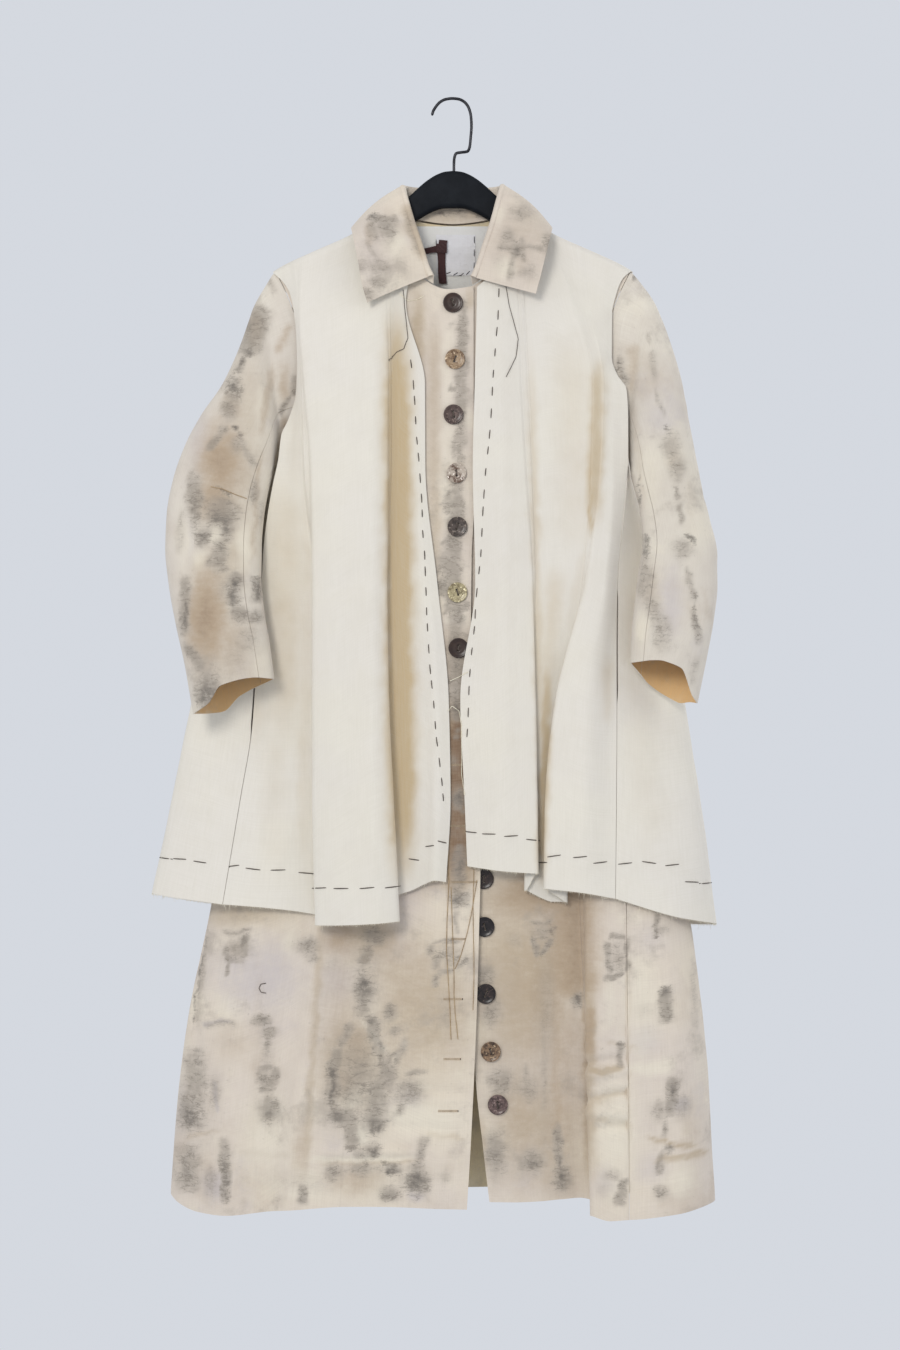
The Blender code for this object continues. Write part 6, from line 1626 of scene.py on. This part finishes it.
hook = {
    "path": ((-25.6, -19), (-24.2, -14), (-20.7, -8), (-15.2, -2.2), (-8.5, 0.9), (-1, 1.8), (6.1, 1.2),
        (13.8, -2.4), (19.4, -10.1), (22, -20.4), (22.6, -31.7), (21.7, -45.6), (20.3, -57.7),
        (17.4, -62.9), (9.8, -64), (4.4, -65), (2, -69.5), (1.2, -78), (1.2, -100)),
    "radius": 1.8,
}
at = np.linspace(0, len(hook["path"]) - 1, 150)
line = [(x, 0.0, z) for x, z in smoothLine(hook["path"], at)]
verts, faces = [], []
radii = [hook["radius"] * min(1.0, 0.45 + 0.2 * k) for k in range(len(line))]
tubeInto(verts, faces, line, radii, 20)
wire = plainMaterial("dark hook wire", wireLook)
meshPiece("hanger_hook_wire", verts, faces, wire, ["hanger_hook"])
print("hanger made")

# the buttons, modelled once

button = {"radius": 12.0, "thick": 2.8, "hole": 1.3, "apart": 6.4, "bevel": 0.35,
          # width of the rim, width and depth of the slope inside it, width and depth of the flat
          "rim": 1.6, "slope": 0.9, "dish": 0.55, "flat": 3.2, "dip": 0.1}
bpy.ops.object.select_all(action="DESELECT")
bpy.ops.mesh.primitive_cylinder_add(vertices=56, radius=button["radius"] * mm, depth=button["thick"] * mm)
model = bpy.context.object
bpy.ops.object.mode_set(mode="EDIT")
bpy.ops.mesh.select_all(action="DESELECT")
shape = bmesh.from_edit_mesh(model.data)
for face in shape.faces:
    face.select = face.normal.z > 0.9
bmesh.update_edit_mesh(model.data)
bpy.ops.mesh.inset(thickness=button["rim"] * mm)
bpy.ops.mesh.inset(thickness=button["slope"] * mm, depth=-button["dish"] * mm)
bpy.ops.mesh.inset(thickness=button["flat"] * mm, depth=-button["dip"] * mm)
bpy.ops.object.mode_set(mode="OBJECT")
for side in (-1, 1):
    bpy.ops.object.select_all(action="DESELECT")
    bpy.ops.mesh.primitive_cylinder_add(vertices=24, radius=button["hole"] * mm, depth=6 * mm,
                                        location=(side * button["apart"] / 2 * mm, 0, 0))
    cutter = bpy.context.object
    takeUp(model)
    cut = model.modifiers.new("hole", "BOOLEAN")
    cut.operation = "DIFFERENCE"
    cut.solver = "EXACT"
    cut.object = cutter
    bpy.ops.object.modifier_apply(modifier="hole")
    bpy.data.objects.remove(cutter, do_unlink=True)
edging = model.modifiers.new("edges", "BEVEL")
edging.width = button["bevel"] * mm
edging.segments = 3
edging.limit_method = "ANGLE"
edging.angle_limit = math.radians(35)
bpy.ops.object.modifier_apply(modifier="edges")
bpy.ops.object.shade_smooth_by_angle(angle=math.radians(35))

# colours from the top button down: base, spots, third
buttonColours = [
    ((74, 52, 44), (104, 74, 60), (44, 32, 30)), ((176, 148, 116), (136, 104, 76), (206, 186, 158)),
    ((128, 104, 96), (98, 76, 70), (160, 138, 126)), ((196, 182, 166), (120, 92, 74), (226, 216, 204)),
    ((124, 108, 98), (92, 78, 70), (158, 144, 132)), ((166, 154, 120), (132, 118, 88), (196, 186, 154)),
    ((70, 50, 42), (98, 72, 58), (42, 30, 28)), ((120, 96, 82), (82, 62, 52), (160, 138, 120)),
    ((92, 70, 60), (60, 44, 38), (130, 106, 92)), ((110, 88, 76), (72, 56, 48), (150, 128, 112)),
    ((84, 66, 60), (56, 44, 40), (120, 100, 90)), ((52, 44, 46), (34, 28, 30), (84, 70, 68)),
    ((70, 56, 52), (40, 32, 32), (112, 92, 82)), ((142, 114, 88), (72, 54, 44), (184, 160, 130)),
    ((132, 108, 102), (98, 78, 74), (168, 146, 138)),
]
threadVerts, threadFaces = [], []
for number, colours in enumerate(buttonColours, 1):
    word = "button_%02d" % number
    low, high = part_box(word)
    centre = (Vector(low) + Vector(high)) / 2
    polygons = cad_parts[word].data.polygons
    facings = [face.normal * face.area for face in polygons if face.normal.y < -0.6]
    out = sum(facings, Vector((0, 0, 0))).normalized()
    turn = Vector((0, 0, 1)).rotation_difference(out)
    side = (turn.to_matrix() @ Vector((1, 0, 0)))
    level = math.atan2(side.z, math.hypot(side.x, side.y))
    spin = Matrix.Rotation(math.pi / 2 - level + 0.35 * math.sin(number * 2.3), 4, "Z")
    copy = addObject(word + "_shell", model.data.copy())
    place = Matrix.Translation(centre) @ turn.to_matrix().to_4x4() @ spin
    copy.data.transform(place)
    # the paler ones keep their colours
    deeper = {2: 0.95, 4: 1.0, 6: 1.12, 14: 1.0, 15: 0.88}.get(number, 0.72)
    depths = (deeper * 0.92, deeper * 0.8, max(deeper * 1.25, 1.0))
    base, spots, third = [srgb(*[part * share for part in colour])
                          for colour, share in zip(colours, depths)]
    look = {"base": base, "spots": spots, "third": third, "scale": 150.0 + 12 * (number % 4),
            "rough": (0.22, 0.4), "bump": 0.1, "coat": 0.12, "shine": 0.3}
    copy.data.materials.append(plainMaterial("button shell %02d" % number, look))
    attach(copy, "root")
    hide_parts(word)
    # thread over the face between the holes, and down through them
    half, dip = button["apart"] / 2, button["thick"] / 2
    for shift in (-0.35, 0.35):
        path = [(-half, -dip), (-half, dip - 0.9), (-half + 0.5, dip - 0.25), (0, dip + 0.1),
                (half - 0.5, dip - 0.25), (half, dip - 0.9), (half, -dip)]
        path = [place @ (Vector((x, shift, z)) * mm) / mm for x, z in path]
        tubeInto(threadVerts, threadFaces, path, [0.32] * 7, 6)
bpy.data.objects.remove(model, do_unlink=True)
meshPiece("button_threads", threadVerts, threadFaces, threads["dark"])
print("buttons sewn on")

# basting stitches, buttonholes, loose threads and frayed hems

sewing = {
    # radius of the thread and how far it lies off the middle of the cloth
    "basting": (0.62, 0.6), "labelStitch": (0.5, 0.35), "holeStitch": (0.22, 0.76), "bar": (0.5, 0.8),
    # cloth, points in pixels, stitch length, pitch
    "runs": [
        ("capeRight",
         ((410.5, 359), (413, 377), (415, 406), (416.4, 436), (418, 451), (421.6, 499), (422.5, 533),
          (424.4, 551), (427, 618), (430, 666), (433.5, 699), (436, 734), (439.6, 764), (442, 785),
          (444, 812)),
         10, 19),
        ("capeLeft",
         ((499, 288), (498, 320), (496, 340), (494.7, 359), (493, 379), (491.5, 412), (490, 433),
          (487.8, 453), (485.4, 475), (483, 512), (481, 556), (478.6, 577), (476, 601), (475, 624),
          (471, 660), (469.4, 683), (468, 724), (465.7, 755)),
         10, 20)],
    "hem": [
        ("capeBack", ((163, 858), (180, 859), (200, 862)), 15),
        ("capeRight", ((232, 866), (253, 869), (278, 870), (306, 873)), 17),
        ("capeRight", ((319, 888), (341, 888.5), (367, 888), (392, 887)), 17),
        ("capeRight", ((414, 859.5),), 12),
        ("capeRight", ((430, 846), (442, 842)), 10),
        ("capeLeft", ((470, 832), (489, 834), (511, 836), (533, 840)), 16),
        ("capeLeft", ((543, 862.5),), 10),
        ("capeLeft", ((554, 856), (580, 857), (600, 862.5)), 16),
        ("capeBack", ((625, 863.5), (649, 862.5), (672, 865), (691.5, 882), (708, 883)), 16)],
    "label": [((432.5, 234), (432.5, 244)), ((474.3, 236), (474.3, 244)), ((474.3, 249), (474.2, 257)),
        ((474.2, 262), (474, 270)), ((446, 274), (451, 272)), ((453, 275.5), (458, 272.5)),
        ((460, 276), (464, 273)), ((466, 275), (470, 271))],
    "loose": [
        ("tan", 0.5,
         ((448, 851), (449, 880), (447, 923), (446.5, 950), (448, 976), (450, 1010), (451, 1039))),
        ("tan", 0.45, ((451, 887), (452.5, 930), (454, 973), (454, 995), (455, 1012), (458, 1039))),
        ("tan", 0.45, ((477, 880), (473, 905), (467.5, 932), (461, 955), (455, 969))),
        ("tan", 0.45, ((474, 869), (473, 905), (473.5, 940), (474, 976), (473, 1010))),
        ("cream", 0.5,
         ((448, 711), (452, 706), (459, 711), (461.6, 724), (461.6, 750), (461.6, 775), (465, 795))),
        ("cream", 0.5, ((450, 681), (459, 677), (468, 672))),
        ("dark", 0.4, ((403, 290), (405, 312), (408, 338), (404, 349), (397, 352), (388, 361))),
        ("cream", 0.45, ((400, 294), (408, 301), (417, 300), (424, 296))),
        ("dark", 0.4, ((506, 287), (509.5, 307), (518, 338), (516, 357), (506, 377))),
        ("tan", 0.45, ((211, 487), (222, 489), (236, 495), (250, 500))),
        ("dark", 0.45, ((266, 983), (261, 984), (259, 988), (261, 992), (266, 993)))],
    # buttonholes: middle across, height, half length
    "holes": [(458, 765, 7), (457, 826, 9), (463, 882, 14), (458, 939, 7), (453, 999, 9.5),
        (452, 1059, 8.5), (448, 1111, 10)],
}


def nearestCloth(px, py, proud, wanted=None):
    # The cloth that shows first at a pixel, or a named one.
    eye = Vector(camera["place"])
    x, z = fromPixel(px, py, -50.0)
    far = (Vector((x, -50.0, z)) - eye).normalized()
    best = None
    for word in ((wanted,) if wanted else worn):
        hit = trees[word].ray_cast(eye, far)
        if hit[0] is not None and (best is None or hit[3] < best[3]):
            best = hit
    if best is None:
        best = trees[wanted or "coatRight"].find_nearest(Vector((x, -50.0, z)))
    normal = best[1] if best[1].y < 0 else -best[1]
    return best[0] + normal * proud


def stitchInto(verts, faces, start, end, word, radius, proud):
    # One stitch: it comes out of the cloth, lies on it and goes back in.
    lifts = (-0.9, 0.25, 0.5, 0.55, 0.5, 0.25, -0.9)
    path = []
    for k, lift in enumerate(lifts):
        px, py = [a + (b - a) * (k / (len(lifts) - 1)) for a, b in zip(start, end)]
        path.append(nearestCloth(px, py, proud + lift * radius * 1.4, word))
    tubeInto(verts, faces, path, [radius * v for v in (0.7, 0.95, 1, 1.05, 1, 0.95, 0.7)], 7)


def runOf(points, length, pitch):
    # The two ends of each stitch along a line of points.
    line = np.array(points, float)
    far = farAlong(line)
    for number, place in enumerate(np.arange(0, far[-1] - length, pitch)):
        place = place + 1.8 * math.sin(number * 2.1)
        ends = (place, place + length * (1 + 0.12 * math.sin(number * 1.3)))
        yield [[np.interp(end, far, line[:, k]) for k in (0, 1)] for end in ends]


verts, faces = [], []
for word, points, length, pitch in sewing["runs"]:
    for start, end in runOf(points, length, pitch):
        stitchInto(verts, faces, start, end, word, *sewing["basting"])
for word, places, length in sewing["hem"]:
    for number, (px, py) in enumerate(places):
        slope = 1.2 * math.sin(px * 0.7)
        start, end = (px - length / 2, py - slope), (px + length / 2, py + slope)
        stitchInto(verts, faces, start, end, word, *sewing["basting"])
# the same stitches along the back's hem, 27 mm up
line = np.array([[np.interp(column[-1, 2] + 27, column[::-1, 2], column[::-1, k]) for k in range(3)]
                 for column in capeBack["grid"]])
line = line[line[:, 1] > -8]
far = farAlong(line)
for place in np.arange(6, far[-1] - 24, 29):
    along = np.linspace(place, place + 19 + 2 * math.sin(place), 9)
    spots = [pointAt(line, far, v) for v in along]
    run = (spots[-1] - spots[0]).normalized()
    out = Vector((-run.y, run.x, 0)).normalized()
    out = out if out.y > 0 else -out
    lifts = (-0.9, 0.2, 0.5, 0.55, 0.6, 0.55, 0.5, 0.2, -0.9)
    path = [spot + out * (1.2 + lift * 0.9) for spot, lift in zip(spots, lifts)]
    tubeInto(verts, faces, path, [0.45, 0.6, 0.62, 0.62, 0.62, 0.62, 0.62, 0.6, 0.45], 7)
meshPiece("basting_stitches", verts, faces, threads["dark"])

verts, faces = [], []
for start, end in sewing["label"]:
    stitchInto(verts, faces, start, end, "label", *sewing["labelStitch"])
meshPiece("label_stitches", verts, faces, threads["black"])

# buttonholes: two rows of close stitches in cloth-coloured thread along a thin slit, a dark bar at
# the front end
verts, faces, slitVerts, slitFaces, barVerts, barFaces = [], [], [], [], [], []
for px, py, half in sewing["holes"]:
    steps = int(half * 2 * 1.7)
    for side in (-1, 1):
        for k in range(steps):
            x = px - half + 2 * half * (k + 0.5) / steps
            start, end = (x, py + side * 0.2), (x + 0.12, py + side * 1.2)
            stitchInto(verts, faces, start, end, "coatRight", *sewing["holeStitch"])
    path = [nearestCloth(px - half + 2 * half * k / 8, py, 0.74, "coatRight") for k in range(9)]
    tubeInto(slitVerts, slitFaces, path, [0.2] * 9, 5)
    start, end = (px + half, py - 0.9), (px + half, py + 0.9)
    stitchInto(barVerts, barFaces, start, end, "coatRight", *sewing["bar"])
meshPiece("buttonhole_stitches", verts, faces, threads["cloth"])
meshPiece("buttonhole_slits", slitVerts, slitFaces, threads["tan"])
meshPiece("buttonhole_bars", barVerts, barFaces, threads["dark"])

for colour in ("tan", "cream", "dark"):
    verts, faces = [], []
    for word, radius, points in sewing["loose"]:
        if word != colour:
            continue
        at = np.linspace(0, len(points) - 1, len(points) * 6)
        px, py = [np.interp(at, np.arange(len(points)), way) for way in np.transpose(points)]
        path = [nearestCloth(a, b, 1.4 + 0.4 * math.sin(k * 0.8)) for k, (a, b) in enumerate(zip(px, py))]
        tubeInto(verts, faces, path, [radius] * len(path), 6)
    meshPiece("loose_threads_" + colour, verts, faces, threads[colour])

# frayed yarn ends along the raw hems of the cape
random = np.random.default_rng(7)
verts, faces = [], []
for spec in (capeFrontRight, capeFrontLeft, capeBack):
    hem = spec["grid"][:, -1]
    far = farAlong(hem)
    for place in np.arange(0, far[-1], 1.5):
        place = place + random.uniform(-0.7, 0.7)
        start = pointAt(hem, far, place)
        lean = Vector((random.uniform(-0.5, 0.5), random.uniform(-0.25, 0.25), -1)).normalized()
        length = random.uniform(0.8, 2.6) if random.uniform() < 0.93 else random.uniform(3, 8)
        start.y += random.uniform(-0.4, 0.4)
        curl = Vector((random.uniform(-1, 1), random.uniform(-0.5, 0.5), 0)) * 0.18 * length
        path = [start + Vector((0, 0, 0.5)), start + lean * length * 0.5 + curl, start + lean * length]
        tubeInto(verts, faces, path, [0.22, 0.18, 0.08], 4)
meshPiece("frayed_yarn_ends", verts, faces, threads["cream"], smooth=False)
print("sewing done")

# floor, light and camera

world = bpy.data.worlds.new("studio")
world.use_nodes = True
sky = world.node_tree.nodes["Background"].inputs
sky["Color"].default_value = srgb(209, 213, 220)
sky["Strength"].default_value = 1.04
bpy.context.scene.world = world

bpy.ops.object.select_all(action="DESELECT")
bpy.ops.mesh.primitive_circle_add(vertices=96, radius=1.4, fill_type="NGON", location=(0, 0, -2.2))
floor = bpy.context.object
floor.name = "floor"
floorLook = {"base": srgb(214, 217, 222), "spots": srgb(212, 215, 220), "scale": 3.0, "rough": (0.7, 0.9)}
floor.data.materials.append(plainMaterial("pale floor", floorLook))
floor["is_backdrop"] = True


def addLight(name, place, aim, size, power, colour):
    bpy.ops.object.select_all(action="DESELECT")
    bpy.ops.object.light_add(type="AREA", location=place)
    lamp = bpy.context.object
    lamp.name = name
    lamp.data.shape = "DISK"
    lamp.data.size = size
    lamp.data.energy = power
    lamp.data.color = colour
    lamp.rotation_euler = (Vector(aim) - Vector(place)).to_track_quat("-Z", "Y").to_euler()


addLight("key", (-1.2, -3.6, 0.7), (0, 0, -0.75), 1.2, 62.0, (1.0, 0.98, 0.94))
addLight("fill", (2.6, -1.6, 0.2), (0, 0, -0.8), 1.4, 8.0, (0.97, 0.98, 1.0))
addLight("behind", (2.0, 2.2, 0.5), (0, 0, -0.8), 1.6, 34.0, (1.0, 0.98, 0.94))

bpy.ops.object.select_all(action="DESELECT")
eye = tuple(v * mm for v in camera["place"])
bpy.ops.object.camera_add(location=eye, rotation=(math.radians(90), 0, 0))
shot = bpy.context.object
shot.data.lens = 66.67
shot.data.sensor_width = 36.0
shot.data.clip_end = 30.0
bpy.context.scene.camera = shot
bpy.context.scene.view_settings.view_transform = "Standard"

low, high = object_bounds()
sizes = {"cad": [[float(v) for v in corner] for corner in cadBox],
         "visual": [[float(v) for v in corner] for corner in (low, high)]}
for word in sizes:
    print(word, [[round(v, 4) for v in corner] for corner in sizes[word]])
